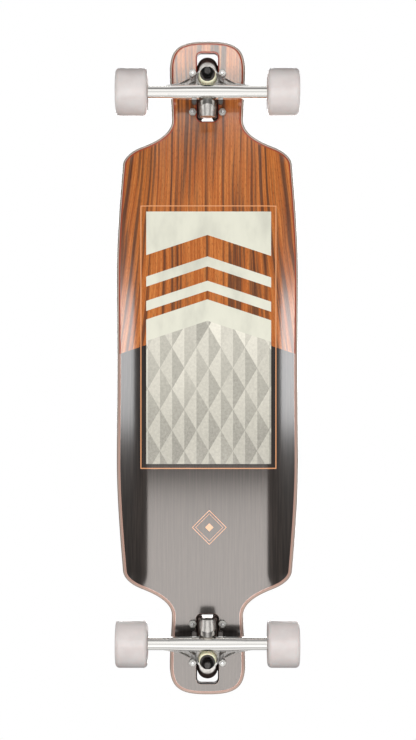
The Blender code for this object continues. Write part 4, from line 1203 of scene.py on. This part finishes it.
# %% Wheel
WHEEL_RADIUS, WHEEL_HALF, WHEEL_Y = 32.5 * MM, 21.7 * MM, 103.5 * MM
SEAT_RADIUS, SHOULDER = 11.3 * MM, 8.6 * MM
CORE_RADIUS = 17.2 * MM


def wheel_shape():
    """Wheel with +Z as its outer side."""
    bm = lathe([
        (SEAT_RADIUS, 11.7 * MM), (12.4 * MM, 12.4 * MM), (CORE_RADIUS, 13 * MM),
        (CORE_RADIUS + 0.3 * MM, 14 * MM), (24 * MM, 20.2 * MM), (25.5 * MM, WHEEL_HALF),
        (WHEEL_RADIUS, WHEEL_HALF), (WHEEL_RADIUS, -WHEEL_HALF),
        (25.5 * MM, -WHEEL_HALF), (24 * MM, -20.2 * MM), (CORE_RADIUS + 0.3 * MM, -16 * MM),
        (CORE_RADIUS, -15 * MM), (12.4 * MM, -13 * MM), (SEAT_RADIUS, -12.1 * MM),
        (SEAT_RADIUS, -4.8 * MM), (SHOULDER, -4.8 * MM), (SHOULDER, 4.4 * MM), (SEAT_RADIUS, 4.4 * MM)],
        96, True)
    lips = [edge for edge in sharp_edges(bm)
            if all(math.hypot(vert.co.x, vert.co.y) > WHEEL_RADIUS - MM for vert in edge.verts)]
    soften(bm, lips, 5.5 * MM, 10)
    edges = [edge for edge in sharp_edges(bm, 18)
             if all(12 * MM < math.hypot(vert.co.x, vert.co.y) < 26 * MM for vert in edge.verts)]
    soften(bm, edges, 0.5 * MM, 3)
    for face in bm.faces:
        centre = face.calc_center_median()
        face.material_index = 1 if math.hypot(centre.x, centre.y) < CORE_RADIUS else 0
    return to_mesh(bm, "wheel")


def bearing_shape():
    """Bearing with its races flush and its seals set back."""
    half = 3.5 * MM
    side = [(4.2, 0), (6.3, 0), (6.3, 0.5), (9.4, 0.5), (9.4, 0), (11, 0)]
    profile = [(radius * MM, half - inset * MM) for radius, inset in side]
    profile += [(radius, -height) for radius, height in reversed(profile)]
    bm = turned(profile, 0.15 * MM, 64)
    for face in bm.faces:
        centre = face.calc_center_median()
        if 6.4 * MM < math.hypot(centre.x, centre.y) < 9.3 * MM and abs(centre.z) < 3.2 * MM:
            face.material_index = 1
    return to_mesh(bm, "bearing")


def plain_ring(outer, width):
    """Washer or spacer round the axle."""
    half = width / 2
    profile = [(AXLE_BORE, half), (outer, half), (outer, -half), (AXLE_BORE, -half)]
    return to_mesh(turned(profile, 0.15 * MM), "ring")


# %% Stand the wheel stacks on the axle ends, each piece so many mm from the board's middle line
STACK = (
    ("wheel", wheel_shape(), WHEEL_Y / MM, [wheel_rose, wheel_core], True, "wheel_urethane"),
    ("inner_speed_ring", plain_ring(6.2 * MM, 0.8 * MM), 90.7, [bright], False, "bright_steel"),
    ("inner_bearing", bearing_shape(), 94.9, [bright, seal_black], True, "bright_steel"),
    ("spacer", plain_ring(5.2 * MM, 9.2 * MM), 103.3, [bright], False, "bright_steel"),
    ("outer_bearing", bearing_shape(), 111.7, [bright, seal_black], True, "bright_steel"),
    ("outer_speed_ring", plain_ring(6.2 * MM, 0.8 * MM), 115.9, [bright], False, "bright_steel"),
    ("axle_nut", lock_nut(14.6 * MM, 0, 6.3 * MM, 4.2 * MM, False), 116.6, [bright], False, "bright_steel"))
for truck, place in TRUCKS.items():
    facing = 1 if truck == "front" else -1
    for hand, way in (("left", 1), ("right", -1)):
        out = way * facing
        for name, mesh, distance, finishes, turns, slot in STACK:
            copy = mesh.copy()
            stand = place @ shift(0, out * distance * MM, 0) @ Matrix.Rotation(-out * math.pi / 2, 4, "X")
            copy.transform(stand)
            node = truck + "_" + hand + "_" + name
            body = truck + "_" + hand + "_wheel" if turns else truck + "_hanger"
            add_piece(node + "_fine", copy, finishes, body, [node], slot, 30)
print("wheel stacks:", 4, "of", len(STACK), "pieces")

# %% Floor finish, sizes, finish
pale, tree, shader = finish("pale_floor", (236, 236, 234), 0.8)
feed(shader, "Base Color", mix(noise(tree, 2.0, 4.0), (240, 240, 238), (230, 230, 228)))
floor_mesh.materials.append(pale)
low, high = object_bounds()
made_box = [list(low), list(high)]
for name, box in (("solids", cad_box), ("dressed", made_box)):
    print(name, [round(b - a, 4) for a, b in zip(*box)])
